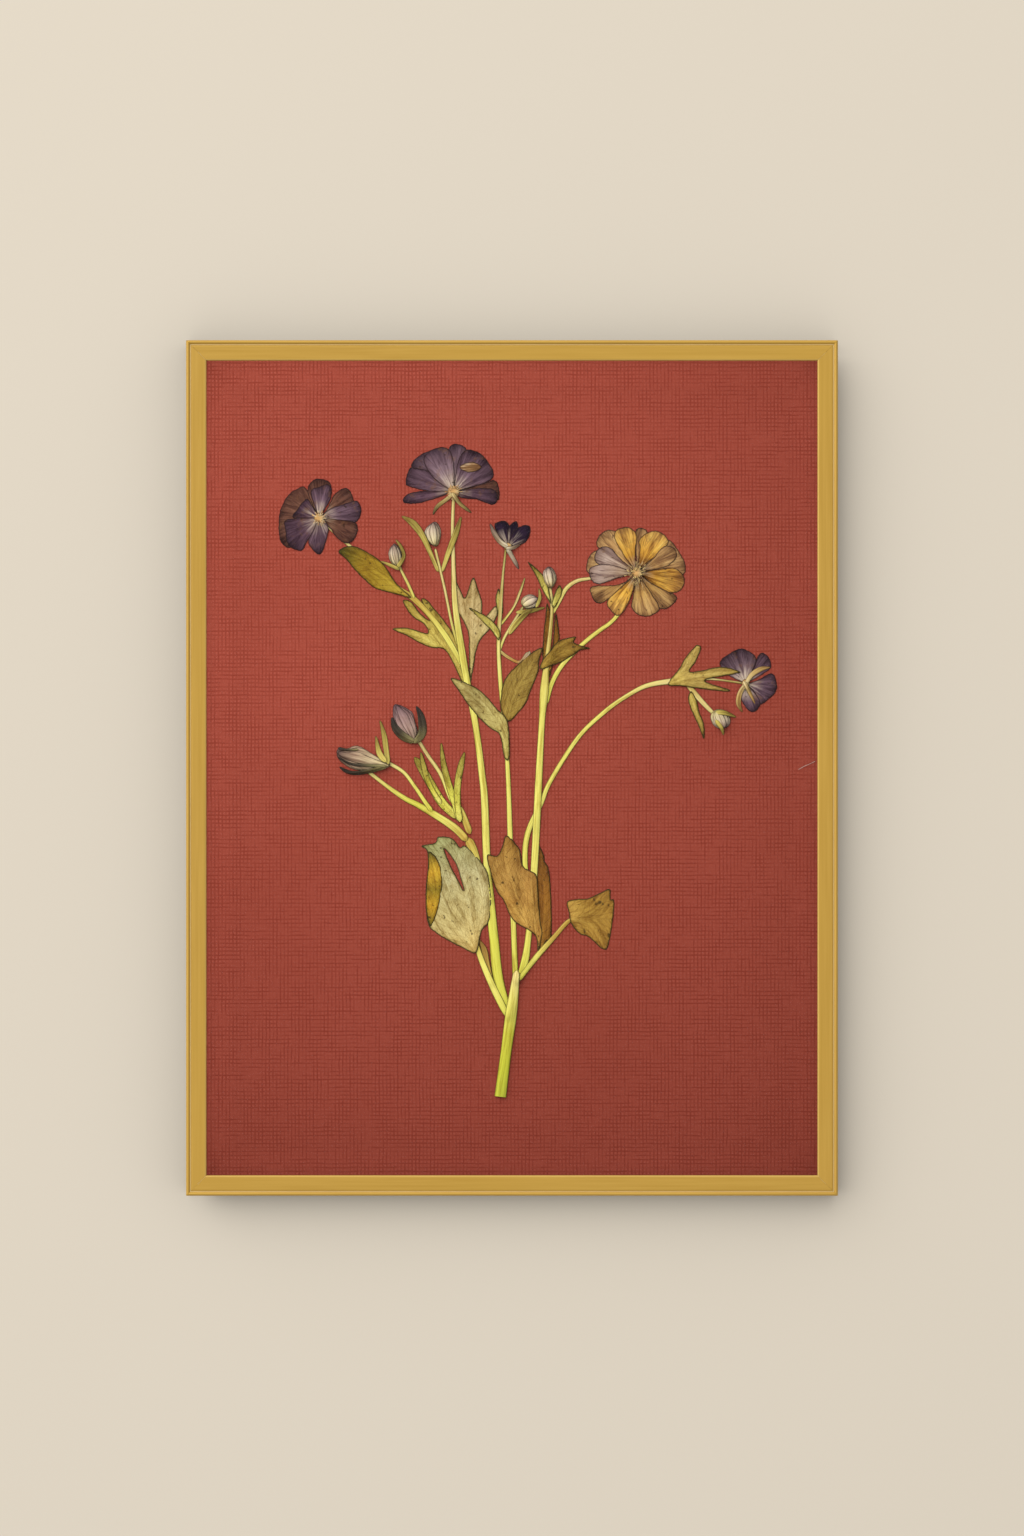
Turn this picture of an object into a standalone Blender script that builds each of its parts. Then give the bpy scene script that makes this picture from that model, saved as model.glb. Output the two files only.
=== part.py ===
"""A dried butterfly buttercup, pressed flat on a red card, in a narrow gold frame that hangs on a wall.

Metres, +Z up, the front faces -Y. The origin is the hanging point: the top of the middle notch of the
hanger, brought straight back to the wall, which is the plane y = 0.
"""

import math

import bmesh
import bpy
from mathutils import Vector
from mathutils.geometry import delaunay_2d_cdt

MM = 0.001

# Gap between two pieces that touch
GAP = 0.3 * MM

# Wooden frame, seen from the front
FRAME_WIDTH = 320 * MM
FRAME_HEIGHT = 420 * MM
FRAME_DEPTH = 20 * MM
FACE_WIDTH = 10 * MM
RABBET_WALL = 5 * MM
LIP_THICKNESS = 3 * MM
HANGING_POINT_BELOW_TOP = 20 * MM
PAD_THICKNESS = 1.5 * MM

# What lies in the frame, from the glazing back
GLAZING_THICKNESS = 2 * MM
SPACER_DEPTH = 4 * MM
CARD_THICKNESS = 1.5 * MM
BOARD_THICKNESS = 3 * MM
EDGE_CLEARANCE = 0.5 * MM
SPACER_WIDTH = 3.6 * MM

# Hanger and fixings on the back
HANGER_LENGTH = 46 * MM
HANGER_HEIGHT = 7.6 * MM
HANGER_SHEET = 0.8 * MM
HANGER_RISE = 2.4 * MM
HANGER_FLAT_END = 8 * MM
HANGER_RAMP = 3 * MM
TOOTH_PITCH = 4 * MM
TOOTH_DEPTH = 1.3 * MM
NAIL_HEAD_RADIUS = 1.7 * MM
NAIL_SHANK_RADIUS = 0.6 * MM
NAIL_HOLE_RADIUS = 1.0 * MM
NAIL_HOLE_DEPTH = 2.2 * MM
NAIL_DEPTH_IN_BOARD = 1.8 * MM
NAIL_SIDES = 16
TAB_LENGTH = 16 * MM
TAB_WIDTH = 7 * MM
TAB_THICKNESS = 0.8 * MM
TAB_HEIGHT_FROM_CENTRE = 115 * MM
PAD_WIDTH = 4 * MM
PAD_LENGTH = 14 * MM
PAD_FROM_CORNER = 12 * MM

# Plant: every piece is a thin plate in one of three layers on the card
PLATE_THICKNESS = 0.8 * MM
LAYER_PITCH = 1.1 * MM
RIM_SHARE = 0.5
BACK_LAYER, MIDDLE_LAYER, FRONT_LAYER = 0, 1, 2

# The plant's places are read from the photograph: 652 of its pixels are the frame's width
PIXEL = FRAME_WIDTH / 652
CENTRE_PIXEL = (512, 768)

# Depths of the stack, as y
FRONT_Y = -(FRAME_DEPTH + PAD_THICKNESS)
RAIL_BACK_Y = -PAD_THICKNESS
GLAZING_Y = FRONT_Y + LIP_THICKNESS + GAP
SPACER_Y = GLAZING_Y + GLAZING_THICKNESS + GAP
CARD_Y = SPACER_Y + SPACER_DEPTH + GAP
BOARD_Y = CARD_Y + CARD_THICKNESS + GAP
FIXING_Y = BOARD_Y + BOARD_THICKNESS + GAP

TOP_Z = HANGING_POINT_BELOW_TOP
CENTRE_Z = TOP_Z - FRAME_HEIGHT / 2

# Section of a rail: distance in from the outer edge, and depth behind the front, both in millimetres
OUTER_BEAD = [(0, 1.0), (0.3, 0.3), (0.95, 0), (1.6, 0.3)]
GROOVE = [(1.9, 1.1), (2.5, 1.1)]
FLAT_FACE = [(2.7, 0.6), (9.2, 0.8)]
SIGHT_EDGE = [(FACE_WIDTH / MM, 1.7), (FACE_WIDTH / MM, LIP_THICKNESS / MM)]
RABBET = [(RABBET_WALL / MM, LIP_THICKNESS / MM), (RABBET_WALL / MM, FRAME_DEPTH / MM)]
BACK_CORNER = [(0, FRAME_DEPTH / MM)]
RAIL_SECTION = OUTER_BEAD + GROOVE + FLAT_FACE + SIGHT_EDGE + RABBET + BACK_CORNER

# Stalks: lists of (x, y, width) in pixels of the photograph, from the root end outwards
MAIN_STEM = [(500.3, 1097.5, 12), (506.3, 1051, 11), (510.7, 1018, 12), (513.7, 996, 10), (515.5, 981, 8)]
LEFT_STEM = [
    (510, 1014, 5), (498.5, 980, 10), (494, 940, 9.6), (490, 900, 9), (487, 865, 8), (484.5, 800, 7.5),
    (482, 775, 7), (477, 735, 6.6), (472.3, 707, 7), (467.4, 684, 7), (461.5, 650, 7.5), (455, 605, 6),
    (453.2, 560, 4.4), (452.4, 525, 3.6), (453.5, 496, 3.4),
]
LEFT_STEM_BUD_STALK = [(457.5, 645, 3), (451.4, 622, 3), (445.3, 592, 3), (440, 569, 3), (435, 548, 3)]
MIDDLE_STEM = [
    (515.5, 979, 6), (513.4, 924, 5.6), (510.4, 845, 5.6), (508.6, 790, 5), (506, 740, 4.6),
    (501, 690, 4.5), (498.5, 645, 4.2), (500.5, 608, 4), (503.1, 573, 2.6), (506, 547, 2.4),
]
MIDDLE_BUD_STALK = [(499, 652, 3), (504.2, 637.7, 3), (514, 621, 3), (523.5, 606, 3)]
MIDDLE_SHORT_STALK = [(499, 650, 3.4), (508, 657, 3.4), (519.6, 662, 3.4), (527.5, 655, 6), (530, 651, 3)]
MIDDLE_TENDRIL = [(500, 625, 3), (513, 608, 2.6), (520, 592, 3), (525, 577, 1.6)]
RIGHT_STEM = [
    (518, 981, 5), (524.4, 964, 8), (528.7, 935, 6.4), (534.1, 873, 7.4), (538.7, 783, 7.4),
    (542, 722, 6.4), (544.5, 690, 9), (546.5, 665, 6), (550.5, 630, 4), (552, 606, 3.6),
    (549.6, 584, 3.4),
]
YELLOW_FLOWER_STALK = [
    (546, 704, 5), (552, 683, 5), (563.2, 663.7, 5), (583.7, 643, 4.6), (600, 630, 4.4), (611, 622, 4.2),
    (620, 611, 4.2), (636, 580, 4),
]
UPPER_SIDE_STALK = [
    (552, 614, 4), (559, 601, 4.6), (566.5, 588, 4.4), (577, 580.5, 4), (590, 578, 3.4), (620, 574, 3),
]
ARCHING_STEM = [
    (531, 905, 5), (525.2, 866, 5.6), (527.7, 834, 6), (541.4, 803, 5), (550.6, 781, 4.8),
    (578, 738, 4.6), (605.7, 711, 4.6), (630, 694, 4.4), (648.6, 685, 5), (672, 681, 6),
    (692, 679, 6), (714, 679, 2.4), (744, 683, 2.4),
]
LOW_LEFT_STEM = [(489, 900, 6), (480, 872, 7), (473, 850, 9), (467, 838, 9)]
OUTER_BUD_STALK = [
    (467, 841, 8), (452.8, 826.7, 8), (420.9, 806.8, 6.4), (405, 798.8, 5.4), (385, 785, 4.2),
    (366, 770, 4),
]
OUTER_BUD_FORK = [(432, 812, 5), (424.9, 802, 4.4), (414.6, 786.8, 4), (403, 772, 4), (386, 762, 4)]
INNER_BUD_STALK = [
    (470, 834, 7), (460.8, 811, 6.4), (450.5, 798, 5), (440.9, 775, 4.4), (428, 756, 4),
    (416.2, 737, 4), (409, 722, 4),
]
LEFT_FLOWER_STALK = [
    (464, 668, 5), (450, 643, 6), (437, 624, 6), (424.9, 609.6, 6), (410.6, 596, 6), (397, 587, 5),
    (375, 568, 3.6), (355.4, 550.4, 3.4), (347.5, 543.8, 3.4), (329.7, 528, 3), (319, 518, 3),
]
UPPER_LEFT_BUD_STALK = [(414, 598, 3.4), (408, 584, 3.2), (400.4, 568.8, 3), (396, 557, 3)]
HANGING_BUD_STALK = [(684, 679, 4), (694, 691.8, 5.6), (704.6, 703.8, 5), (714, 713, 4), (721, 717.5, 3)]

# Leaves: closed outlines in pixels of the photograph
LARGE_PALE_LEAF = [
    (475.8, 953), (461, 947.6), (448, 941), (435, 932.8), (428.7, 926.3), (425.6, 910), (425.9, 884.7),
    (427.7, 868), (426.8, 851.4), (421.3, 845.9), (435, 843), (437.9, 837), (449.6, 837.6), (455.5, 842),
    (460, 847.7), (464.7, 845.9), (474, 854), (483, 865), (487.8, 873.6), (490.3, 890), (491, 903),
    (488.8, 921.7), (481.4, 931.9),
]
PALE_LEAF_TEAR = [(444, 849), (455.5, 864), (461, 881), (463.6, 891), (455.5, 875.5), (450.9, 867)]
PALE_LEAF_STALK = [(474, 938, 5), (481.4, 960.6, 6), (492.5, 986.5, 7), (503, 1008, 7), (508, 1018, 4)]
PALE_LEAF_SPUR = [(492, 984, 4), (487, 965, 6), (484, 950, 6), (478.6, 940, 2)]
LARGE_BROWN_LEAF = [
    (505.4, 836.3), (511, 838.5), (516.5, 845), (520.2, 851.4), (523, 866.2), (532.2, 871.8), (537, 877),
    (538.7, 899.5), (540.6, 921.7), (542.4, 934.7), (537.8, 951.3), (535, 935.6), (516.5, 923.6),
    (510, 916), (503.6, 901.4), (496, 890.3), (490.6, 873.6), (487, 855.5), (497, 856), (501.7, 847.7),
]
BROWN_LEAF_FOLD = [
    (538.5, 846), (543.9, 855), (545, 862), (548.9, 870), (551.3, 897.7), (551.5, 936.5), (546, 942),
    (540.6, 951.3), (538, 925), (536, 895), (537, 865),
]
SMALL_BROWN_LEAF = [
    (567, 902.3), (577.5, 899.5), (588.6, 898.6), (598.8, 894), (609.9, 889.4), (610.8, 899.5),
    (614.5, 901), (612.7, 923.6), (608, 947.6), (601.6, 949), (592.3, 940.2), (586.8, 936.5),
    (579.4, 934), (571, 923.6), (569, 912.5),
]
SMALL_BROWN_LEAF_STALK = [
    (575, 918, 3), (567, 923, 4.6), (553.5, 938.4, 5), (536.9, 957, 6), (518.4, 981, 4.6),
]
OLIVE_LEAF = [
    (338, 551), (347.9, 545.5), (360, 547.9), (379.5, 559.8), (388.2, 570.7), (396.8, 583.7), (411, 597),
    (396.8, 594), (375.2, 588), (364.3, 579.4), (353.5, 568.5), (347, 560),
]
THREE_LOBED_LEAF = [
    (463, 684), (446.3, 651.4), (431, 647.3), (420.8, 643.3), (405.5, 635), (391.7, 628.5), (408, 627.6),
    (426.9, 633), (424, 624), (411.6, 615.7), (402.4, 600.4), (411, 601.5), (421, 614), (430, 619),
    (420.8, 599.9), (426.5, 599.4), (435.1, 609.6), (445.3, 621.8), (456, 640), (468, 681),
]
TAN_LEAF = [
    (469.8, 684), (468.8, 652), (467.8, 632), (461, 617), (456.5, 609.6), (456, 592), (453.5, 575.9),
    (460.6, 590), (465, 597), (472.9, 576.9), (478, 589), (482, 601.4), (483, 618), (495.3, 605.5),
    (497.3, 614.7), (490.2, 628), (480, 640.2), (475.9, 652), (473.9, 664),
]
GREY_GREEN_LEAF = [
    (450.6, 677.8), (469, 683.9), (483.3, 693), (497.6, 709.4), (507.8, 721.6), (509.4, 757),
    (504.2, 757.3), (499.6, 735), (489.4, 727.8), (477, 715.5), (467, 703.3), (458.8, 691),
]
UPRIGHT_BROWN_LEAF = [
    (542.1, 647.5), (530.2, 653.2), (518.9, 663), (507, 675.6), (502.8, 684.7), (501, 695), (500.6, 709),
    (506.7, 720), (510.8, 720.6), (515.9, 715.5), (526, 703), (531, 689.8), (537.9, 672.8),
    (539.3, 660.2),
]
LYING_BROWN_LEAF = [
    (540, 669), (543, 659), (549, 651.8), (558.9, 640.6), (575.8, 636.3), (574.5, 642.5),
    (590.5, 648.2), (580.7, 649.6), (573.7, 654.6), (563.2, 660.9), (553.3, 665.1),
]
NARROW_DARK_LEAVES = [
    [
        (547, 602.6), (551, 614), (551, 627), (547.5, 651), (551, 672), (545, 680), (542.5, 655),
        (543.5, 635), (545.6, 615),
    ],
    [(556, 611.8), (559.3, 632), (558.9, 641), (552, 668), (547, 672), (552.5, 645), (554, 628)],
]
NARROW_YELLOW_LEAVES = [
    [(527.7, 561.2), (539.6, 571), (546.6, 580.2), (551, 603), (543.1, 590.7), (535.5, 574.6)],
    [(558.6, 585), (562.4, 592), (556, 606), (551.5, 604)],
]
END_LEAF = [
    (668, 684), (679, 669), (686, 657), (693.3, 648.3), (697.5, 644.8), (701.7, 647.6), (696, 661.7),
    (690, 671), (700, 670.6), (722, 666.6), (741, 671.5), (732.6, 674.3), (705.3, 680.4), (729, 689),
    (727.7, 691.4), (713, 690), (694, 687.6), (680, 685.8),
]
HANGING_LEAFLET = [
    (692, 691), (697, 700), (700, 712), (704.6, 725), (704.4, 739), (698.2, 724), (691.2, 708.7),
    (688.6, 697),
]
LOW_LEFT_LEAF_LOBES = [
    [(458, 818, 6), (442, 803, 7), (430, 783, 7), (419, 764, 6), (414, 757, 2)],
    [(441, 804, 4), (429, 784, 4), (423.6, 767, 4.4), (420.6, 752, 1.6)],
    [(460, 822, 6), (456, 806, 6), (449, 786, 5.4), (443.4, 764, 4.6), (441, 743, 1.6)],
    [(460, 822, 5), (457.4, 804, 5), (457.6, 784, 5.4), (461, 765, 5), (464.6, 752, 1.6)],
]

# Flowers, in pixels of the photograph: where the petals meet, the radius of the knob there, and each
# petal's edge
LEFT_FLOWER_CENTRE = (318.5, 517.5)
LEFT_FLOWER_KNOB = 5
LEFT_FLOWER = [
    [(305.7, 487.8), (294.9, 489), (287.4, 494.9), (282.4, 503), (278.4, 516), (278.7, 536),
     (282.4, 544), (291, 547), (300, 535)],
    [(308, 495), (308.6, 484), (316.4, 478), (330, 482.4), (328, 497)],
    [(310.2, 491.6), (319, 486), (328, 483.7), (331.4, 489), (328.9, 500.7)],
    [(308, 499), (301.5, 502.3), (296.5, 509), (292, 516.4), (303, 522)],
    [(325.6, 509.8), (334.7, 493), (346.3, 487.4), (352.9, 497.4), (352, 505), (340, 513)],
    [(330, 508), (345, 503), (357, 500.3), (360.8, 511.5), (355, 522), (340, 523)],
    [(340, 519), (356.2, 523), (355.4, 536), (347, 543), (336.3, 537), (328, 526)],
    [(301, 517), (284.9, 519.8), (284.5, 528), (287.8, 544.6), (300.7, 550), (307.3, 539.7), (314, 530)],
    [(311.5, 531.4), (307.7, 540), (311, 548), (318.9, 554.2), (323.9, 546), (328, 529.7), (325, 520)],
]
TOP_FLOWER_CENTRE = (453.7, 491)
TOP_FLOWER_KNOB = 6
TOP_FLOWER = [
    [(486, 482), (493.3, 479), (497.7, 483.4), (499.5, 493.7), (497, 500), (480, 495)],
    [(447, 459), (450.7, 444.5), (459.5, 443.8), (466, 448), (468, 462), (461, 480)],
    [(457, 464), (465, 449.6), (479.3, 452), (490, 464), (493.6, 474), (489, 480.5), (475.7, 485)],
    [(432, 491), (409.7, 486), (405.3, 482), (410, 467), (423, 465), (436, 477)],
    [(430, 472), (412, 467), (414, 459), (426.5, 451), (437, 452), (446, 468)],
    [(436, 480), (423.6, 462), (428, 451), (442, 446.4), (450.5, 451), (454, 468)],
    [(439, 490), (417, 490.7), (405.3, 495), (403.4, 502), (417, 502.6), (433, 498.5)],
    [(472.7, 487.8), (493.3, 488.5), (497.7, 498), (492.5, 504), (477, 499), (461, 497)],
]
TOP_FLOWER_SEPALS = [
    [(455, 492, 4), (446, 499, 4), (437, 506, 4), (432.8, 514, 1.6)],
    [(452, 492, 4), (459, 502, 4), (466, 508, 3.4), (471.3, 512, 1.6)],
]
SMALL_DARK_FLOWER_CENTRE = (508, 546)
SMALL_DARK_FLOWER_KNOB = 4
SMALL_DARK_FLOWER = [
    [(499, 536), (494.4, 524), (503, 520), (509, 524), (513, 535)],
    [(508, 528), (516.5, 520.5), (518, 530), (516, 541)],
    [(513, 531), (523.5, 524.7), (530.2, 526), (529.8, 534), (526, 541), (517, 546)],
]
SMALL_DARK_FLOWER_SEPALS = [
    [(509, 547, 5), (500, 541, 5), (494, 532, 5), (490, 523, 1.6)],
    [(507, 547, 5), (512, 556, 4.4), (516, 563, 4), (518.6, 568.6, 1.6)],
    [(506, 548, 3.4), (514, 547, 3.4), (521, 543, 1.6)],
]
YELLOW_FLOWER_CENTRE = (637.2, 572.4)
YELLOW_FLOWER_KNOB = 5.5
YELLOW_FLOWER = [
    [(600, 549), (599, 535.7), (610, 529.3), (625, 536), (634, 552)],
    [(611, 577), (590, 574), (586.8, 564), (592.5, 552), (606, 552)],
    [(659, 545), (669, 539), (679.4, 551), (685.8, 564.4), (683, 575), (664, 575)],
    [(636, 545), (637, 528.6), (647, 530), (649, 548)],
    [(619.6, 557), (612.5, 548.5), (605.3, 545.7), (597, 550), (595.3, 561), (610, 568)],
    [(610, 564), (591, 566.8), (590.6, 578), (599, 583.6), (619.6, 577)],
    [(626, 558), (615.5, 540), (616, 530), (629, 526.6), (637.2, 535), (635.6, 552)],
    [(640, 549), (639.6, 539), (650, 531), (661, 531.7), (669, 541), (660, 553), (648, 562)],
    [(651.5, 559.6), (664, 546), (674, 547), (677, 556), (666.7, 566)],
    [(662.7, 568), (677, 568.4), (685, 578), (681, 590), (668, 592), (652, 583)],
    [(656, 585), (677, 596), (670.7, 606), (660, 608), (649, 594)],
    [(619, 584), (592, 586), (592.5, 597), (599, 603), (611, 597)],
    [(621, 587), (609, 598), (608, 606), (618, 615.6), (627.6, 605), (634, 588)],
    [(633.4, 595), (632, 607), (638.8, 614.6), (650, 615.6), (660, 608), (650, 590)],
]
RIGHT_FLOWER_CENTRE = (746, 683)
RIGHT_FLOWER_KNOB = 4
RIGHT_FLOWER = [
    [(754, 668), (758, 656.7), (763.5, 652.5), (770, 658), (771, 668), (760, 676)],
    [(757, 680.6), (772, 673), (777.5, 683), (775.4, 693), (762, 704), (754, 700)],
    [(755, 691), (761, 704), (754.4, 712), (747, 708), (741, 696)],
    [(729, 675), (720, 663), (729, 654), (742, 648.3), (756, 656), (754, 668)],
]
RIGHT_FLOWER_SEPALS = [
    [(746, 684, 4), (752, 675, 5), (761, 669, 5), (771, 667, 1.6)],
    [(748, 682, 4), (741, 692, 5), (739, 703, 5), (743, 712, 1.6)],
    [(744, 681, 4), (750, 692, 4), (755.8, 704, 1.6)],
]

# Buds: rounded heads as closed outlines, and their sepals as short stalk-like strips
UPPER_LEFT_BUD = [(394, 543), (388.4, 551), (390, 561), (398, 567), (402, 559), (400.5, 549)]
UPPER_LEFT_BUD_SEPALS = [
    [(397, 567, 4), (403.5, 556, 3), (400.5, 546, 3), (395.3, 539, 1.4)],
    [(399, 569, 3), (390, 564.7, 3), (380, 560.6, 1.4)],
]
UPPER_MIDDLE_BUD = [(434, 521), (424.5, 530), (427, 540), (436, 546), (440.5, 537), (440, 527)]
UPPER_MIDDLE_BUD_LEAVES = [
    [(438, 571, 3), (430, 552, 4), (422.6, 536, 5), (413, 523, 6), (401.5, 515.5, 1.6)],
    [(442, 571, 3), (448, 553, 4.4), (456, 532, 5), (461, 516, 1.6)],
]
CENTRE_BUD = [(521, 603), (524, 596), (532, 594), (539, 599), (536, 607), (527, 609)]
CENTRE_BUD_LEAVES = [
    [(516, 612, 3), (529, 611, 4), (545, 607, 1.6)],
    [(536, 607, 3), (540, 598, 3), (539, 588, 1.4)],
    [(509, 634, 3), (514, 626, 5), (524, 615, 4.4), (532, 609, 2)],
]
UPPER_RIGHT_BUD = [(549, 566), (543, 572), (545, 582), (551, 588), (556.5, 580), (555, 571)]
FAR_RIGHT_BUD = [(718, 709), (711, 715), (714, 725), (723, 729), (731, 723), (728, 712)]
FAR_RIGHT_BUD_SEPALS = [
    [(716, 712, 4), (726, 713, 4), (736.8, 717, 1.4)],
    [(716, 720, 4), (722, 728, 3.4), (724, 735, 1.4)],
]
LOW_OUTER_BUD = [
    (337, 749), (346, 748.6), (354.5, 745.6), (361.5, 747), (369, 753), (390, 765), (374, 771),
    (352, 769), (338, 759),
]
LOW_OUTER_BUD_SEPAL = [(386, 767, 3), (370, 771, 3.4), (352, 773, 3.4), (339, 767, 1.6)]
LOW_TENDRIL_BUD = [
    [(388, 764, 4), (386, 751, 4.6), (384, 736, 4.4), (379.7, 720.3, 1.6)],
    [(386, 762, 4), (379, 753, 5), (375.5, 736, 1.6)],
]
LOW_INNER_BUD = [
    (395.2, 704), (392.5, 714), (396, 726), (404, 736), (414, 742), (418, 734), (415, 722), (411, 711),
]
LOW_INNER_BUD_SEPALS = [
    [(415, 742, 4), (404, 737, 7), (395, 728, 6), (391.6, 717, 1.6)],
    [(414, 743, 4), (422, 733, 7), (421, 717, 6), (416, 706, 1.6)],
]


def clear_scene():
    for obj in list(bpy.data.objects):
        bpy.data.objects.remove(obj)


def paint(name, colour, roughness, metallic=0.0, transmission=0.0):
    """A plain coating with the piece's own colour."""
    coating = bpy.data.materials.new(name)
    coating.use_nodes = True
    shader = coating.node_tree.nodes["Principled BSDF"]
    shader.inputs["Base Color"].default_value = (*colour, 1)
    shader.inputs["Roughness"].default_value = roughness
    shader.inputs["Metallic"].default_value = metallic
    shader.inputs["Transmission Weight"].default_value = transmission
    return coating


def add_mesh_object(name, vertices, faces, material):
    """A named object from points and faces, with its faces pointing out."""
    work = bmesh.new()
    points = [work.verts.new(vertex) for vertex in vertices]
    for face in faces:
        work.faces.new([points[index] for index in face])
    bmesh.ops.recalc_face_normals(work, faces=work.faces)
    mesh = bpy.data.meshes.new(name)
    work.to_mesh(mesh)
    work.free()
    mesh.materials.append(material)
    obj = bpy.data.objects.new(name, mesh)
    bpy.context.collection.objects.link(obj)
    return obj


def add_block(name, low, high, material):
    """A box between two corners."""
    corners = [(x, y, z) for x in (low[0], high[0]) for y in (low[1], high[1]) for z in (low[2], high[2])]
    sides = [(0, 1, 3, 2), (4, 6, 7, 5), (0, 4, 5, 1), (2, 3, 7, 6), (0, 2, 6, 4), (1, 5, 7, 3)]
    return add_mesh_object(name, corners, sides, material)


def add_rail(name, quarter_turns, length, offset, material):
    """One mitred rail: its section runs along the rail, and each end is cut at 45 degrees.

    The rail is laid out as the bottom one and turned about Y in quarter turns.
    """
    mitre_cut = GAP / math.sqrt(2)
    vertices = []
    for end in (-1, 1):
        for inward, depth in RAIL_SECTION:
            along = end * (length / 2 - inward * MM - mitre_cut)
            place = Vector((along, FRONT_Y + depth * MM, inward * MM - offset))
            turn = quarter_turns * math.pi / 2
            x = place.x * math.cos(turn) - place.z * math.sin(turn)
            z = place.x * math.sin(turn) + place.z * math.cos(turn)
            vertices.append((x, place.y, z + CENTRE_Z))
    count = len(RAIL_SECTION)
    faces = [(i, (i + 1) % count, count + (i + 1) % count, count + i) for i in range(count)]
    faces += [tuple(range(count)), tuple(reversed(range(count, 2 * count)))]
    return add_mesh_object(name, vertices, faces, material)


def add_frame():
    gold = paint("gold_paint", (0.53, 0.34, 0.08), 0.4, 0.3)
    for name, turns, length, offset in (
        ("bottom_rail", 0, FRAME_WIDTH, FRAME_HEIGHT / 2),
        ("right_rail", 1, FRAME_HEIGHT, FRAME_WIDTH / 2),
        ("top_rail", 2, FRAME_WIDTH, FRAME_HEIGHT / 2),
        ("left_rail", 3, FRAME_HEIGHT, FRAME_WIDTH / 2),
    ):
        add_rail(name, turns, length, offset, gold)


def add_sheet(name, front_y, thickness, material):
    """A flat sheet that fills the rabbet."""
    half_width = FRAME_WIDTH / 2 - RABBET_WALL - EDGE_CLEARANCE
    half_height = FRAME_HEIGHT / 2 - RABBET_WALL - EDGE_CLEARANCE
    low = (-half_width, front_y, CENTRE_Z - half_height)
    high = (half_width, front_y + thickness, CENTRE_Z + half_height)
    return add_block(name, low, high, material)


def add_spacers():
    """Four strips behind the lip that keep the glazing off the plant."""
    board = paint("spacer_board", (0.8, 0.76, 0.66), 0.8)
    half_width = FRAME_WIDTH / 2 - RABBET_WALL - EDGE_CLEARANCE
    half_height = FRAME_HEIGHT / 2 - RABBET_WALL - EDGE_CLEARANCE
    back = SPACER_Y + SPACER_DEPTH
    for name, side in (("spacer_left", -1), ("spacer_right", 1)):
        edges = sorted((side * half_width, side * (half_width - SPACER_WIDTH)))
        low = (edges[0], SPACER_Y, CENTRE_Z - half_height)
        high = (edges[1], back, CENTRE_Z + half_height)
        add_block(name, low, high, board)
    reach = half_width - SPACER_WIDTH - GAP
    for name, side in (("spacer_bottom", -1), ("spacer_top", 1)):
        edges = sorted((CENTRE_Z + side * half_height, CENTRE_Z + side * (half_height - SPACER_WIDTH)))
        add_block(name, (-reach, SPACER_Y, edges[0]), (reach, back, edges[1]), board)


def cut_holes(obj, centres, radius, y_from, y_to):
    """Round holes along Y, cut with hidden cylinders."""
    for number, (x, z) in enumerate(centres):
        bpy.ops.mesh.primitive_cylinder_add(
            vertices=NAIL_SIDES, radius=radius, depth=y_to - y_from,
            location=(x, (y_from + y_to) / 2, z), rotation=(math.pi / 2, 0, 0),
        )
        cutter = bpy.context.object
        cutter.name = f"{obj.name}_hole_cutter_{number}"
        cutter.hide_render = True
        cutter.display_type = "WIRE"
        cut = obj.modifiers.new("nail_hole", "BOOLEAN")
        cut.operation = "DIFFERENCE"
        cut.solver = "EXACT"
        cut.object = cutter


def nail_places():
    x = HANGER_LENGTH / 2 - HANGER_FLAT_END / 2
    z = HANGER_HEIGHT / 2
    return [(-x, z), (x, z)]


def add_hanger():
    """A strip of sheet metal with a toothed lower edge; its middle stands off the board."""
    steel = paint("hanger_steel", (0.6, 0.58, 0.54), 0.35, 1.0)
    half = HANGER_LENGTH / 2
    ramp_start = half - HANGER_FLAT_END
    ramp_end = ramp_start - HANGER_RAMP
    half_pitches = int(ramp_end / (TOOTH_PITCH / 2)) - 1
    lower_edge = -TOOTH_DEPTH
    end_places = [(half, 0, lower_edge), (ramp_start, 0, lower_edge), (ramp_end, HANGER_RISE, lower_edge)]
    columns = [(-x, rise, lower) for x, rise, lower in end_places]
    for step in range(-half_pitches, half_pitches + 1):
        notch = step % 2 == 0
        columns.append((step * TOOTH_PITCH / 2, HANGER_RISE, 0 if notch else lower_edge))
    columns += reversed(end_places)
    vertices = []
    for x, rise, lower in columns:
        for y in (FIXING_Y + rise, FIXING_Y + rise + HANGER_SHEET):
            for z in (lower, HANGER_HEIGHT):
                vertices.append((x, y, z))
    faces = [(0, 1, 3, 2)]
    for column in range(len(columns) - 1):
        a = 4 * column
        b = a + 4
        faces += [(a, b, b + 1, a + 1), (a + 2, a + 3, b + 3, b + 2)]
        faces += [(a, a + 2, b + 2, b), (a + 1, b + 1, b + 3, a + 3)]
    last = 4 * (len(columns) - 1)
    faces.append((last, last + 2, last + 3, last + 1))
    hanger = add_mesh_object("sawtooth_hanger", vertices, faces, steel)
    cut_holes(hanger, nail_places(), NAIL_HOLE_RADIUS, FIXING_Y - MM, FIXING_Y + HANGER_SHEET + MM)


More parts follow.
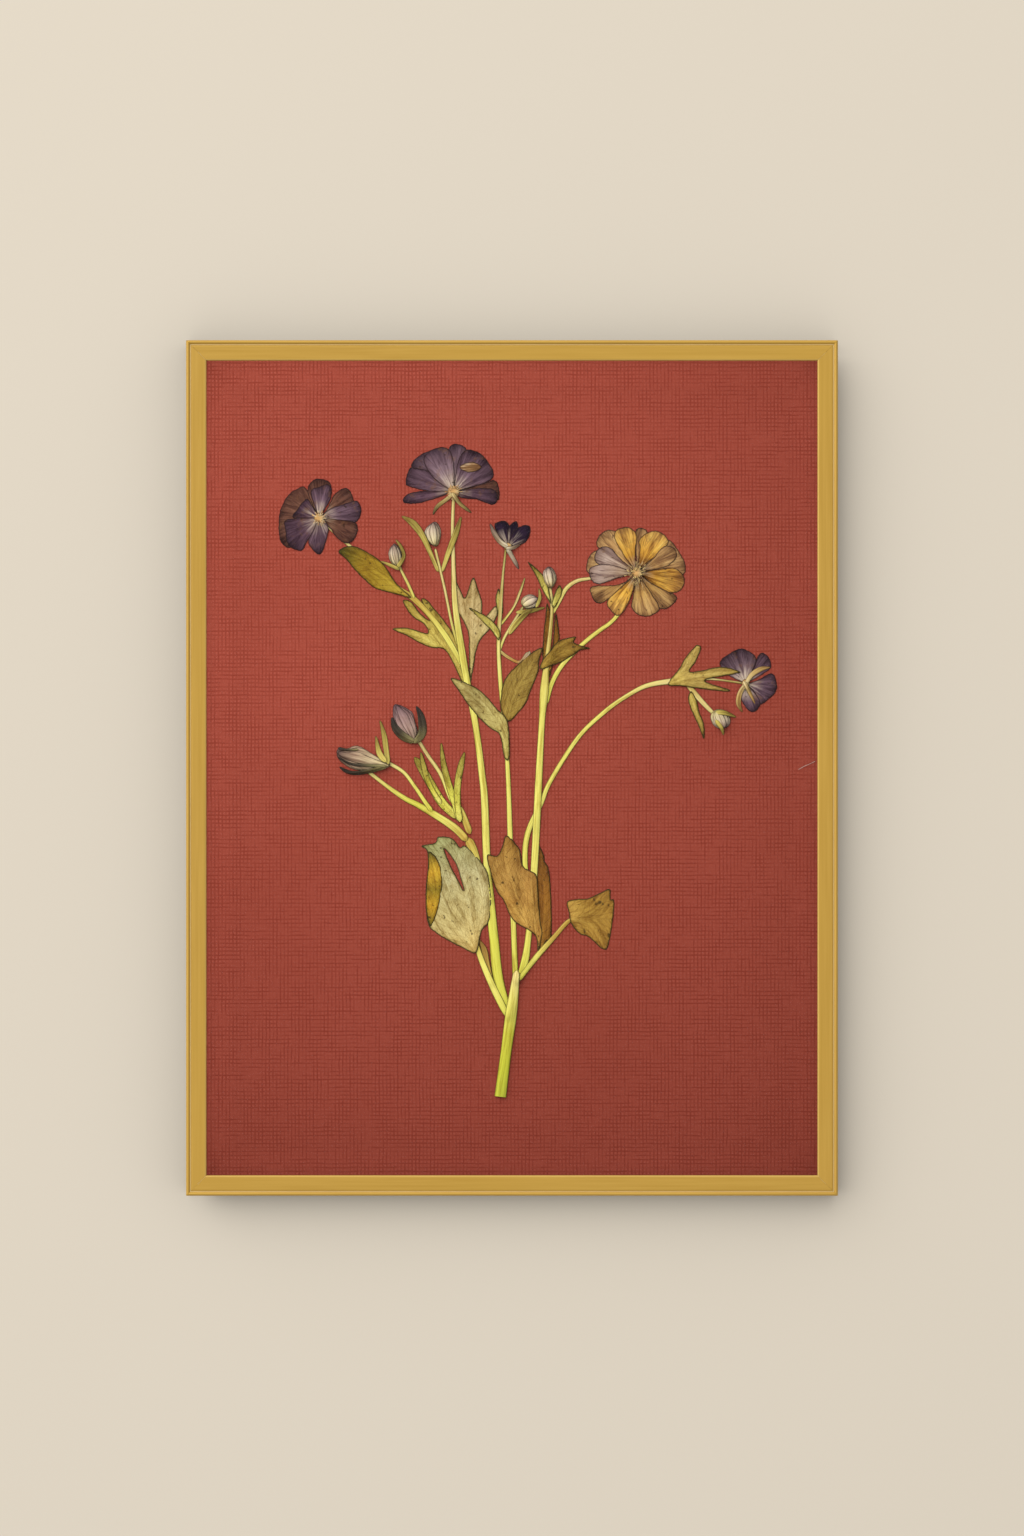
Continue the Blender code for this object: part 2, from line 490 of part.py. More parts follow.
def add_nails():
    """Two small nails through the hanger's ends, each a turned solid with a domed head."""
    steel = paint("nail_steel", (0.55, 0.5, 0.4), 0.35, 1.0)
    head_y = FIXING_Y + HANGER_SHEET + GAP
    shank = [(0, BOARD_Y + BOARD_THICKNESS - NAIL_DEPTH_IN_BOARD), (NAIL_SHANK_RADIUS, FIXING_Y - MM)]
    neck = [(NAIL_SHANK_RADIUS, head_y), (NAIL_HEAD_RADIUS, head_y)]
    dome = [(NAIL_HEAD_RADIUS * 0.75, head_y + 0.6 * MM), (0, head_y + 0.8 * MM)]
    profile = shank + neck + dome
    for name, (x, z) in zip(("hanger_nail_left", "hanger_nail_right"), nail_places()):
        vertices = [(x, profile[0][1], z), (x, profile[-1][1], z)]
        rings = profile[1:-1]
        for radius, y in rings:
            for side in range(NAIL_SIDES):
                angle = 2 * math.pi * side / NAIL_SIDES
                vertices.append((x + radius * math.cos(angle), y, z + radius * math.sin(angle)))
        faces = []
        for side in range(NAIL_SIDES):
            following = (side + 1) % NAIL_SIDES
            faces.append((0, 2 + side, 2 + following))
            for ring in range(len(rings) - 1):
                a = 2 + ring * NAIL_SIDES
                b = a + NAIL_SIDES
                faces.append((a + side, b + side, b + following, a + following))
            top = 2 + (len(rings) - 1) * NAIL_SIDES
            faces.append((1, top + following, top + side))
        nail = add_mesh_object(name, vertices, faces, steel)
        nail.data.shade_smooth()
        nail.data.set_sharp_from_angle(angle=math.radians(40))


def add_tabs():
    """Four spring-steel tabs that hold the board in, two on each long side."""
    steel = paint("tab_steel", (0.45, 0.45, 0.45), 0.4, 1.0)
    wall = FRAME_WIDTH / 2 - RABBET_WALL - GAP
    number = 1
    for side in (-1, 1):
        for up in (-1, 1):
            edges = sorted((side * wall, side * (wall - TAB_LENGTH)))
            z = CENTRE_Z + up * TAB_HEIGHT_FROM_CENTRE
            low = (edges[0], FIXING_Y, z - TAB_WIDTH / 2)
            high = (edges[1], FIXING_Y + TAB_THICKNESS, z + TAB_WIDTH / 2)
            add_block(f"retaining_tab_{number}", low, high, steel)
            number += 1


def add_pads():
    """Two felt pads on the back of the bottom rail, which touch the wall."""
    felt = paint("felt", (0.12, 0.11, 0.1), 0.95)
    middle = FRAME_WIDTH / 2 - PAD_FROM_CORNER - PAD_LENGTH / 2
    z_low = CENTRE_Z - FRAME_HEIGHT / 2 + (RABBET_WALL - PAD_WIDTH) / 2
    for name, x in (("wall_pad_left", -middle), ("wall_pad_right", middle)):
        low = (x - PAD_LENGTH / 2, RAIL_BACK_Y + GAP, z_low)
        high = (x + PAD_LENGTH / 2, 0, z_low + PAD_WIDTH)
        add_block(name, low, high, felt)


def smooth(points, steps, closed):
    """More points on a smooth curve through the given ones (Catmull-Rom)."""
    count = len(points)
    result = []
    for i in range(count if closed else count - 1):
        if closed:
            before, start, end, after = (points[(i + k) % count] for k in (-1, 0, 1, 2))
        else:
            before, start, end, after = (points[min(max(i + k, 0), count - 1)] for k in (-1, 0, 1, 2))
        for step in range(steps):
            t = step / steps
            weights = (
                (-t + 2 * t * t - t ** 3) / 2, (2 - 5 * t * t + 3 * t ** 3) / 2,
                (t + 4 * t * t - 3 * t ** 3) / 2, (t ** 3 - t * t) / 2,
            )
            group = zip(weights, (before, start, end, after))
            terms = [[weight * value for value in point] for weight, point in group]
            result.append(tuple(sum(column) for column in zip(*terms)))
    if not closed:
        result.append(tuple(points[-1]))
    return result


def on_card(point):
    """A pixel of the photograph as millimetres right of and above the card's centre."""
    scale = PIXEL / MM
    return ((point[0] - CENTRE_PIXEL[0]) * scale, (CENTRE_PIXEL[1] - point[1]) * scale)


def ribbon(stalk, steps):
    """The outline and the middle line of a stalk of changing width, in millimetres on the card."""
    line = smooth(stalk, steps, closed=False)
    middle = [on_card(point) for point in line]
    half_widths = [point[2] * PIXEL / MM / 2 for point in line]
    left, right = [], []
    for i, (x, z) in enumerate(middle):
        ahead = middle[min(i + 1, len(middle) - 1)]
        behind = middle[max(i - 1, 0)]
        run = math.hypot(ahead[0] - behind[0], ahead[1] - behind[1])
        across = (-(ahead[1] - behind[1]) / run, (ahead[0] - behind[0]) / run)
        left.append((x + across[0] * half_widths[i], z + across[1] * half_widths[i]))
        right.append((x - across[0] * half_widths[i], z - across[1] * half_widths[i]))
    return right + left[::-1], middle


def signed_area(loop):
    return sum(a[0] * b[1] - b[0] * a[1] for a, b in zip(loop, loop[1:] + loop[:1])) / 2


def counter_clockwise(loop):
    return loop if signed_area(loop) > 0 else loop[::-1]


def grown(loop, distance):
    """The loop moved outwards, to cut room for its neighbour."""
    count = len(loop)
    result = []
    for i, (x, z) in enumerate(loop):
        before, after = Vector(loop[i - 1]), Vector(loop[(i + 1) % count])
        here = Vector((x, z))
        into, out_of = (here - before).normalized(), (after - here).normalized()
        bisector = Vector((into.y + out_of.y, -(into.x + out_of.x)))
        stretch = max(bisector.length_squared / 2, 0.5)
        result.append(tuple(here + bisector * distance / stretch))
    return result


def distance_to_segment(point, start, end):
    run = end - start
    share = max(0, min(1, (point - start).dot(run) / max(run.length_squared, 1e-9)))
    return (point - start - run * share).length


def extent(loops):
    """The lowest and highest corners of all the loops together."""
    xs = [x for loop in loops for x, z in loop]
    zs = [z for loop in loops for x, z in loop]
    return min(xs), min(zs), max(xs), max(zs)


def apart(one, other):
    """Whether two extents don't meet."""
    return one[2] < other[0] or other[2] < one[0] or one[3] < other[1] or other[3] < one[1]


def inner_points(outlines, loops, spacing):
    """Points on a staggered grid over the outlines, well away from every edge."""
    if not outlines:
        return []
    low_x, low_z, high_x, high_z = extent(outlines)
    segments = [(Vector(a), Vector(b)) for loop in loops for a, b in zip(loop, loop[1:] + loop[:1])]
    points = []
    for row in range(int((high_z - low_z) / spacing) + 1):
        for column in range(int((high_x - low_x) / spacing) + 1):
            point = Vector((low_x + (column + row % 2 / 2) * spacing, low_z + (row + 0.5) * spacing))
            if all(distance_to_segment(point, a, b) > spacing * 0.4 for a, b in segments):
                points.append(tuple(point))
    return points


def largest_part(triangles):
    """The triangles of the largest part that hangs together edge to edge."""
    by_edge = {}
    for index, triangle in enumerate(triangles):
        for a, b in zip(triangle, triangle[1:] + triangle[:1]):
            by_edge.setdefault(frozenset((a, b)), []).append(index)
    left = set(range(len(triangles)))
    best = []
    while left:
        part, waiting = [], [left.pop()]
        while waiting:
            index = waiting.pop()
            part.append(index)
            triangle = triangles[index]
            for a, b in zip(triangle, triangle[1:] + triangle[:1]):
                for neighbour in by_edge[frozenset((a, b))]:
                    if neighbour in left:
                        left.discard(neighbour)
                        waiting.append(neighbour)
        best = max(best, part, key=len)
    return [triangles[index] for index in best]


def petals(centre, edges):
    """Closed outlines of petals that all start at the flower's centre."""
    return [[centre] + edge for edge in edges]


def knob(centre, radius, sides=8):
    """A round outline about a flower's centre."""
    outline = []
    for side in range(sides):
        angle = 2 * math.pi * side / sides
        outline.append((centre[0] + radius * math.cos(angle), centre[1] + radius * math.sin(angle)))
    return outline


class Layers:
    """What already lies in each layer of the plant, so that the next piece can keep clear of it."""

    def __init__(self):
        self.taken = {BACK_LAYER: [], MIDDLE_LAYER: [], FRONT_LAYER: []}


def add_pressed(
    layers, name, layer, material, outlines=(), stalks=(), holes=(),
    outline_steps=1, stalk_steps=1, spacing=5.5,
):
    """A pressed piece: flat behind, thin at its edges and thicker inside, kept clear of its neighbours."""
    smoothed = [smooth(outline, outline_steps, closed=True) for outline in outlines]
    outline_loops = [[on_card(point) for point in outline] for outline in smoothed]
    loops = list(outline_loops)
    ridges = []
    for stalk in stalks:
        loop, middle = ribbon(stalk, stalk_steps)
        loops.append(loop)
        ridges.append(middle[1:-1])
    loops = [counter_clockwise(loop) for loop in loops]
    cutters = [counter_clockwise([on_card(point) for point in hole]) for hole in holes]
    own_extent = extent(loops)
    neighbours = [loop for loop in layers.taken[layer] if not apart(own_extent, extent([loop]))]
    cutters += [grown(loop, GAP / MM) for loop in neighbours]
    layers.taken[layer] += loops

    points, edges, faces = [], [], []
    for loop in loops + cutters:
        faces.append(list(range(len(points), len(points) + len(loop))))
        points += loop
    ridge_start = len(points)
    for ridge in ridges:
        edges += [(len(points) + i, len(points) + i + 1) for i in range(len(ridge) - 1)]
        points += ridge
    points += inner_points(outline_loops, loops + cutters, spacing)
    mesh_points, _, triangles, origins, _, face_origins = delaunay_2d_cdt(
        [Vector(point) for point in points], edges, faces, 1, 0.02)
    kept = [
        tuple(triangle) for triangle, inside in zip(triangles, face_origins)
        if any(face < len(loops) for face in inside) and all(face < len(loops) for face in inside)
    ]
    kept = largest_part(kept)

    used = sorted({index for triangle in kept for index in triangle})
    place = {index: number for number, index in enumerate(used)}
    back_y = CARD_Y - GAP - layer * LAYER_PITCH
    front, back = [], []
    for index in used:
        x, z = mesh_points[index] * MM
        high = bool(origins[index]) and min(origins[index]) >= ridge_start
        thickness = PLATE_THICKNESS * (1 if high else RIM_SHARE)
        front.append((x, back_y - thickness, z + CENTRE_Z))
        back.append((x, back_y, z + CENTRE_Z))
    count = len(used)
    front_faces = [tuple(place[index] for index in triangle) for triangle in kept]
    back_faces = [tuple(count + index for index in reversed(face)) for face in front_faces]
    sides = {(a, b) for face in front_faces for a, b in zip(face, face[1:] + face[:1])}
    walls = [(b, a, count + a, count + b) for a, b in sides if (b, a) not in sides]
    return add_mesh_object(name, front + back, front_faces + back_faces + sorted(walls), material)


def add_stalks(layers):
    green = paint("dried_stalk", (0.62, 0.58, 0.2), 0.6)
    add_pressed(layers, "main_stem", MIDDLE_LAYER, green, stalks=[MAIN_STEM])
    add_pressed(
        layers, "left_stem", MIDDLE_LAYER, green,
        stalks=[LEFT_STEM, LEFT_STEM_BUD_STALK], stalk_steps=2,
    )
    add_pressed(
        layers, "middle_stem", MIDDLE_LAYER, green,
        stalks=[MIDDLE_STEM, MIDDLE_BUD_STALK, MIDDLE_SHORT_STALK, MIDDLE_TENDRIL],
    )
    add_pressed(layers, "right_stem", MIDDLE_LAYER, green, stalks=[RIGHT_STEM])
    add_pressed(layers, "left_flower_stalk", MIDDLE_LAYER, green, stalks=[LEFT_FLOWER_STALK])
    for name, stalks, steps in (
        ("yellow_flower_stalk", [YELLOW_FLOWER_STALK], 2),
        ("upper_side_stalk", [UPPER_SIDE_STALK], 2),
        ("arching_stem", [ARCHING_STEM], 3),
        ("low_left_stem", [LOW_LEFT_STEM], 1),
        ("outer_bud_stalk", [OUTER_BUD_STALK, OUTER_BUD_FORK], 2),
        ("inner_bud_stalk", [INNER_BUD_STALK], 2),
    ):
        add_pressed(layers, name, BACK_LAYER, green, stalks=stalks, stalk_steps=steps)
    add_pressed(layers, "upper_left_bud_stalk", FRONT_LAYER, green, stalks=[UPPER_LEFT_BUD_STALK])
    add_pressed(layers, "hanging_bud_stalk", MIDDLE_LAYER, green, stalks=[HANGING_BUD_STALK])


def add_leaves(layers):
    pale = paint("pale_leaf", (0.55, 0.46, 0.2), 0.7)
    brown = paint("brown_leaf", (0.4, 0.22, 0.07), 0.7)
    olive = paint("olive_leaf", (0.26, 0.17, 0.02), 0.7)
    add_pressed(
        layers, "large_pale_leaf", FRONT_LAYER, pale, outlines=[LARGE_PALE_LEAF], holes=[PALE_LEAF_TEAR],
        stalks=[PALE_LEAF_STALK, PALE_LEAF_SPUR], spacing=7,
    )
    add_pressed(
        layers, "small_brown_leaf", FRONT_LAYER, brown, outlines=[SMALL_BROWN_LEAF],
        stalks=[SMALL_BROWN_LEAF_STALK], spacing=6,
    )
    add_pressed(layers, "large_brown_leaf", FRONT_LAYER, brown, outlines=[LARGE_BROWN_LEAF], spacing=6)
    add_pressed(layers, "brown_leaf_fold", BACK_LAYER, brown, outlines=[BROWN_LEAF_FOLD])
    add_pressed(layers, "olive_leaf", FRONT_LAYER, olive, outlines=[OLIVE_LEAF])
    add_pressed(layers, "three_lobed_leaf", BACK_LAYER, olive, outlines=[THREE_LOBED_LEAF])
    add_pressed(layers, "tan_leaf", BACK_LAYER, pale, outlines=[TAN_LEAF])
    add_pressed(layers, "upright_brown_leaf", FRONT_LAYER, brown, outlines=[UPRIGHT_BROWN_LEAF])
    add_pressed(layers, "grey_green_leaf", FRONT_LAYER, pale, outlines=[GREY_GREEN_LEAF])
    add_pressed(layers, "lying_brown_leaf", FRONT_LAYER, brown, outlines=[LYING_BROWN_LEAF])
    add_pressed(layers, "narrow_dark_leaves", BACK_LAYER, brown, outlines=NARROW_DARK_LEAVES)
    add_pressed(layers, "end_leaf", FRONT_LAYER, olive, outlines=[END_LEAF])
    add_pressed(layers, "hanging_leaflet", MIDDLE_LAYER, olive, outlines=[HANGING_LEAFLET])
    add_pressed(layers, "low_left_leaf", MIDDLE_LAYER, olive, stalks=LOW_LEFT_LEAF_LOBES)


def add_flowers(layers):
    purple = paint("purple_petal", (0.1, 0.06, 0.1), 0.75)
    yellow = paint("yellow_petal", (0.5, 0.28, 0.05), 0.75)
    dark = paint("dark_petal", (0.03, 0.015, 0.04), 0.75)
    left = (LEFT_FLOWER_CENTRE, LEFT_FLOWER_KNOB, LEFT_FLOWER, [])
    top = (TOP_FLOWER_CENTRE, TOP_FLOWER_KNOB, TOP_FLOWER, TOP_FLOWER_SEPALS)
    small = (SMALL_DARK_FLOWER_CENTRE, SMALL_DARK_FLOWER_KNOB, SMALL_DARK_FLOWER, SMALL_DARK_FLOWER_SEPALS)
    middle = (YELLOW_FLOWER_CENTRE, YELLOW_FLOWER_KNOB, YELLOW_FLOWER, [])
    right = (RIGHT_FLOWER_CENTRE, RIGHT_FLOWER_KNOB, RIGHT_FLOWER, RIGHT_FLOWER_SEPALS)
    for name, layer, material, (centre, radius, edges, sepals) in (
        ("left_flower", FRONT_LAYER, purple, left),
        ("top_flower", FRONT_LAYER, purple, top),
        ("small_dark_flower", FRONT_LAYER, dark, small),
        ("yellow_flower", FRONT_LAYER, yellow, middle),
        ("right_flower", MIDDLE_LAYER, purple, right),
    ):
        outlines = petals(centre, edges) + [knob(centre, radius)]
        add_pressed(layers, name, layer, material, outlines=outlines, stalks=sepals)


def add_buds(layers):
    cream = paint("bud_cream", (0.5, 0.42, 0.26), 0.7)
    for name, layer, outlines, stalks in (
        ("upper_left_bud", FRONT_LAYER, [UPPER_LEFT_BUD], UPPER_LEFT_BUD_SEPALS),
        ("upper_middle_bud", FRONT_LAYER, [UPPER_MIDDLE_BUD], UPPER_MIDDLE_BUD_LEAVES),
        ("centre_bud", FRONT_LAYER, [CENTRE_BUD], CENTRE_BUD_LEAVES),
        ("upper_right_bud", FRONT_LAYER, [UPPER_RIGHT_BUD] + NARROW_YELLOW_LEAVES, []),
        ("far_right_bud", FRONT_LAYER, [FAR_RIGHT_BUD], FAR_RIGHT_BUD_SEPALS),
        ("low_outer_bud", FRONT_LAYER, [LOW_OUTER_BUD], [LOW_OUTER_BUD_SEPAL]),
        ("low_tendril_bud", MIDDLE_LAYER, [], LOW_TENDRIL_BUD),
        ("low_inner_bud", FRONT_LAYER, [LOW_INNER_BUD], LOW_INNER_BUD_SEPALS),
    ):
        steps = 2 if len(outlines) == 1 else 1
        add_pressed(
            layers, name, layer, cream, outlines=outlines, stalks=stalks, outline_steps=steps, spacing=2.4)


def build():
    clear_scene()
    add_frame()
    clear = paint("clear_glazing", (0.95, 0.95, 0.95), 0.05, transmission=1)
    add_sheet("glazing", GLAZING_Y, GLAZING_THICKNESS, clear)
    add_spacers()
    add_sheet("mount_card", CARD_Y, CARD_THICKNESS, paint("red_card", (0.35, 0.06, 0.045), 0.85))
    brown = paint("brown_board", (0.3, 0.2, 0.11), 0.85)
    board = add_sheet("backing_board", BOARD_Y, BOARD_THICKNESS, brown)
    board_back = BOARD_Y + BOARD_THICKNESS
    cut_holes(board, nail_places(), NAIL_HOLE_RADIUS, board_back - NAIL_HOLE_DEPTH, board_back + MM)
    add_hanger()
    add_nails()
    add_tabs()
    add_pads()
    layers = Layers()
    add_stalks(layers)
    add_leaves(layers)
    add_flowers(layers)
    add_buds(layers)


build()
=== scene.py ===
# %% [markdown]
# A pressed flower picture: a dried buttercup with its stalks, leaves, flowers and buds, flat on a red
# linen card, in a narrow gold wooden frame behind clear glazing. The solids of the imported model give
# every place and size. This notebook builds the fine surfaces that stand for them, one kind of piece at a
# time.

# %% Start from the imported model
import math

import bmesh
import bpy
import numpy as np
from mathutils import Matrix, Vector
from mathutils.geometry import delaunay_2d_cdt


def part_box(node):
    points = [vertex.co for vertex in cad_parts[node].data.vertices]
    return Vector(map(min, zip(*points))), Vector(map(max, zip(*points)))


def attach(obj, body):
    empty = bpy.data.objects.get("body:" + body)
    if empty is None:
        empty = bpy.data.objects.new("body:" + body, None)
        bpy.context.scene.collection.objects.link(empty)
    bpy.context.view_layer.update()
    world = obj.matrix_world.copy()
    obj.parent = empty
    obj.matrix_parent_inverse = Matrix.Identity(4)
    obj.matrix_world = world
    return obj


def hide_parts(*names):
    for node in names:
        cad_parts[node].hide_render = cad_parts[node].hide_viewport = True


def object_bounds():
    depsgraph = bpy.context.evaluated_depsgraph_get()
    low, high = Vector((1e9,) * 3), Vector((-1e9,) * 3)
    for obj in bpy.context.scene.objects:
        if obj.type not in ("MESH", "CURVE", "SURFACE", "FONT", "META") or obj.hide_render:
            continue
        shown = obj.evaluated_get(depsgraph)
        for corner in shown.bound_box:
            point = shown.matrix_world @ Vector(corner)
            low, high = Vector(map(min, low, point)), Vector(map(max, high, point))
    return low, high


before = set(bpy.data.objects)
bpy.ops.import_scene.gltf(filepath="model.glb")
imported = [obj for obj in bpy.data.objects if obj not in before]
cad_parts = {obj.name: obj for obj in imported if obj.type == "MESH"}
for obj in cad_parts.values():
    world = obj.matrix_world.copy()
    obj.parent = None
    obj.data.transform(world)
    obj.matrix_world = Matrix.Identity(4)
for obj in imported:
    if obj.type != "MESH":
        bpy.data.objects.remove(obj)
CAD_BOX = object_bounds()
print("pieces in the packed model:", len(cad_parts))

# %% [markdown]
# All places follow from the frame's own box. The photograph is only used to place the plant: the frame is
# 652 of its pixels wide, and its middle is the picture's middle, so one pixel is a fixed length on the
# card.

# %% Measure the frame
MM = 0.001
FRAME_WIDTH = CAD_BOX[1].x - CAD_BOX[0].x
FRAME_HEIGHT = CAD_BOX[1].z - CAD_BOX[0].z
FRONT_Y = CAD_BOX[0].y
CENTRE_Z = (CAD_BOX[0].z + CAD_BOX[1].z) / 2
CARD_FRONT_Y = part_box("mount_card")[0].y
FRAME_PIXELS = 652
CENTRE_PIXEL = (512, 768)
PHOTO_HEIGHT_PIXELS = 1536
PIXEL = FRAME_WIDTH / FRAME_PIXELS
print("one pixel is", round(PIXEL / MM, 4), "mm")
print("the card's front lies at y =", round(CARD_FRONT_Y / MM, 2), "mm")

# %% [markdown]
# The picture is seen straight on, almost without perspective, so a long lens stands far back. The
# sensor's 36 mm are the long side of the image, which sets the distance from which the frame fills 652
# pixels.

# %% Stand the camera in front
LENS = 180
SENSOR = 36
camera_data = bpy.data.cameras.new("camera")
camera_data.lens = LENS
camera_data.sensor_width = SENSOR
camera_data.clip_end = 20
camera = bpy.data.objects.new("camera", camera_data)
camera_distance = PIXEL * PHOTO_HEIGHT_PIXELS * LENS / SENSOR
camera.location = (0, FRONT_Y - camera_distance, CENTRE_Z)
camera.rotation_euler = (math.pi / 2, 0, 0)
bpy.context.scene.collection.objects.link(camera)
bpy.context.scene.camera = camera
bpy.context.scene.view_settings.view_transform = "Standard"
print("the camera stands", round(camera_distance, 3), "m in front of the frame")

# %% [markdown]
# Colours are written as the eye reads them on a screen, from 0 to 255. Blender counts light instead, so
# each one is turned into a linear value first.

# %% Turn screen colours into light
def linear(colour):
    """A screen colour (0 to 255) as linear light."""
    share = np.array(colour, float) / 255
    return np.where(share <= 0.04045, share / 12.92, ((share + 0.055) / 1.055) ** 2.4)


def rgba(colour):
    return (*linear(colour), 1)


print("a mid grey of 128 is", round(float(linear((128, 128, 128))[0]), 3), "as light")

# %% [markdown]
# A node material is a small drawing of boxes and wires. These helpers add one box in one line: a value is
# written on its socket, and another node's output is wired to it.

# %% Helpers for node materials
def add_node(tree, kind, inputs=None, **settings):
    """A node with its settings; each input takes a value, or the output it is wired to."""
    node = tree.nodes.new(kind)
    for name, value in settings.items():
        setattr(node, name, value)
    for key, value in (inputs or {}).items():
        if isinstance(value, bpy.types.NodeSocket):
            tree.links.new(value, node.inputs[key])
        else:
            node.inputs[key].default_value = value
    return node


def mixed(tree, factor, a, b, blend="MIX"):
    """The colour between a and b; factor, a and b are values or outputs."""
    node = add_node(tree, "ShaderNodeMix", {0: factor, 6: a, 7: b}, data_type="RGBA", blend_type=blend)
    return node.outputs[2]


def maths(tree, operation, a, b=0.0):
    return add_node(tree, "ShaderNodeMath", {0: a, 1: b}, operation=operation).outputs[0]


def fade(tree, value, start, end, low=0.0, high=1.0):
    """A value that runs from low to high as the input runs from start to end."""
    node = add_node(tree, "ShaderNodeMapRange", {0: value, 1: start, 2: end, 3: low, 4: high})
    return node.outputs[0]


def noise(tree, vector, scale, detail=3.0, roughness=0.5):
    inputs = {"Vector": vector, "Scale": scale, "Detail": detail, "Roughness": roughness}
    return add_node(tree, "ShaderNodeTexNoise", inputs).outputs[0]


def vector_maths(tree, operation, a, b=(0, 0, 0)):
    return add_node(tree, "ShaderNodeVectorMath", {0: a, 1: b}, operation=operation).outputs[0]


def times(tree, vector, factor):
    inputs = {0: vector, "Scale": factor}
    return add_node(tree, "ShaderNodeVectorMath", inputs, operation="SCALE").outputs[0]


def stretched(tree, vector, scale):
    """The coordinates multiplied on each axis, to draw a pattern out along one of them."""
    return vector_maths(tree, "MULTIPLY", vector, scale)


def separated(tree, vector):
    """The three parts of a vector."""
    return add_node(tree, "ShaderNodeSeparateXYZ", {0: vector}).outputs


def wandering(tree, vector, scale, detail):
    """A vector that changes softly from place to place, about nought."""
    inputs = {"Vector": vector, "Scale": scale, "Detail": detail}
    colour = add_node(tree, "ShaderNodeTexNoise", inputs).outputs["Color"]
    return vector_maths(tree, "SUBTRACT", colour, (0.5, 0.5, 0.5))


def close_to(tree, value, middle, inner, outer, strength=1.0):
    """Full strength where the value is close to the middle, and nothing beyond the outer distance."""
    off_middle = maths(tree, "ABSOLUTE", maths(tree, "SUBTRACT", value, middle))
    return fade(tree, off_middle, inner, outer, strength, 0.0)


def bump(tree, height, distance, strength=1.0):
    inputs = {"Height": height, "Distance": distance, "Strength": strength}
    return add_node(tree, "ShaderNodeBump", inputs).outputs[0]


def new_finish(name, roughness=0.7, metallic=0.0, gloss=0.5):
    """A material with only its shader, and its node tree."""
    finish = bpy.data.materials.new(name)
    finish.use_nodes = True
    shader = finish.node_tree.nodes["Principled BSDF"]
    shader.inputs["Roughness"].default_value = roughness
    shader.inputs["Metallic"].default_value = metallic
    shader.inputs["Specular IOR Level"].default_value = gloss
    return finish, finish.node_tree, shader


def place(tree):
    return tree.nodes.new("ShaderNodeTexCoord").outputs["Object"]


def set_finish(tree, shader, colour, height=None, depth=0.0, strength=1.0):
    """Wires the colour to the shader, and where there is a relief, that too."""
    tree.links.new(colour, shader.inputs["Base Color"])
    if height:
        tree.links.new(bump(tree, height, depth, strength), shader.inputs["Normal"])


print("material helpers are ready")

# %% [markdown]
# The frame hangs on a pale wall. Most of the light comes evenly from the whole room, which draws the soft
# halo all round the frame, and the rest from a very wide light at the upper left, which shifts it to the
# right and down. Light stops at the first thing that it meets: the photo has no gold or red glow beside
# the frame. Only the camera sees the wall and the floor, so they keep no light off the frame. From behind
# the wall is clear.

# %% Build the room's wall, floor and light
WALL_COLOUR = (226, 215, 197)
FLOOR_COLOUR = (222, 214, 202)
KEY_LIGHT_PLACE = Vector((-4.4, -4.0, 4.2))
KEY_LIGHT_SIZE = 8.0
KEY_LIGHT_POWER = 640
WORLD_STRENGTH = 0.52


def add_plane(name, corners, finish):
    mesh = bpy.data.meshes.new(name)
    mesh.from_pydata(corners, [], [(0, 1, 2, 3)])
    mesh.materials.append(finish)
    plane = bpy.data.objects.new(name, mesh)
    bpy.context.scene.collection.objects.link(plane)
    return plane


def wall_finish():
    finish, tree, shader = new_finish("pale_wall", 0.9, gloss=0.0)
    shader.inputs["Base Color"].default_value = rgba(WALL_COLOUR)
    behind = tree.nodes.new("ShaderNodeNewGeometry").outputs["Backfacing"]
    clear = tree.nodes.new("ShaderNodeBsdfTransparent").outputs[0]
    both = add_node(tree, "ShaderNodeMixShader", {0: behind, 1: shader.outputs[0], 2: clear})
    tree.links.new(both.outputs[0], tree.nodes["Material Output"].inputs["Surface"])
    return finish


def floor_finish():
    finish, tree, shader = new_finish("pale_floor", 0.85)
    shader.inputs["Base Color"].default_value = rgba(FLOOR_COLOUR)
    return finish


WALL_Y = 0.0004
FLOOR_Z = CENTRE_Z - 0.95
CEILING_Z = 3
SIDE = 4
FLOOR_DEPTH = 6
wall_corners = [(x, WALL_Y, z) for x, z in (
    (-SIDE, FLOOR_Z), (SIDE, FLOOR_Z), (SIDE, CEILING_Z), (-SIDE, CEILING_Z),
)]
floor_corners = [(x, y, FLOOR_Z) for x, y in (
    (-SIDE, -FLOOR_DEPTH), (SIDE, -FLOOR_DEPTH), (SIDE, FLOOR_DEPTH), (-SIDE, FLOOR_DEPTH),
)]
wall = add_plane("wall", wall_corners, wall_finish())
floor = add_plane("floor", floor_corners, floor_finish())
for plane in (wall, floor):
    for ray in ("diffuse", "glossy", "transmission", "volume_scatter", "shadow"):
        setattr(plane, "visible_" + ray, False)

key_data = bpy.data.lights.new("key_light", "AREA")
key_data.size = KEY_LIGHT_SIZE
key_data.energy = KEY_LIGHT_POWER
key_light = bpy.data.objects.new("key_light", key_data)
key_light.location = KEY_LIGHT_PLACE
towards = Vector((0, 0, CENTRE_Z)) - KEY_LIGHT_PLACE
key_light.rotation_euler = towards.to_track_quat("-Z", "Y").to_euler()
bpy.context.scene.collection.objects.link(key_light)
no_key_shadow = bpy.data.collections.new("no_key_shadow")
key_light.light_linking.blocker_collection = no_key_shadow


def let_key_light_through(piece):
    """The photo has no dark band on the card beside the frame's lip, so the wide light ignores this piece."""
    no_key_shadow.objects.link(piece)
    no_key_shadow.collection_objects[-1].light_linking.link_state = "EXCLUDE"


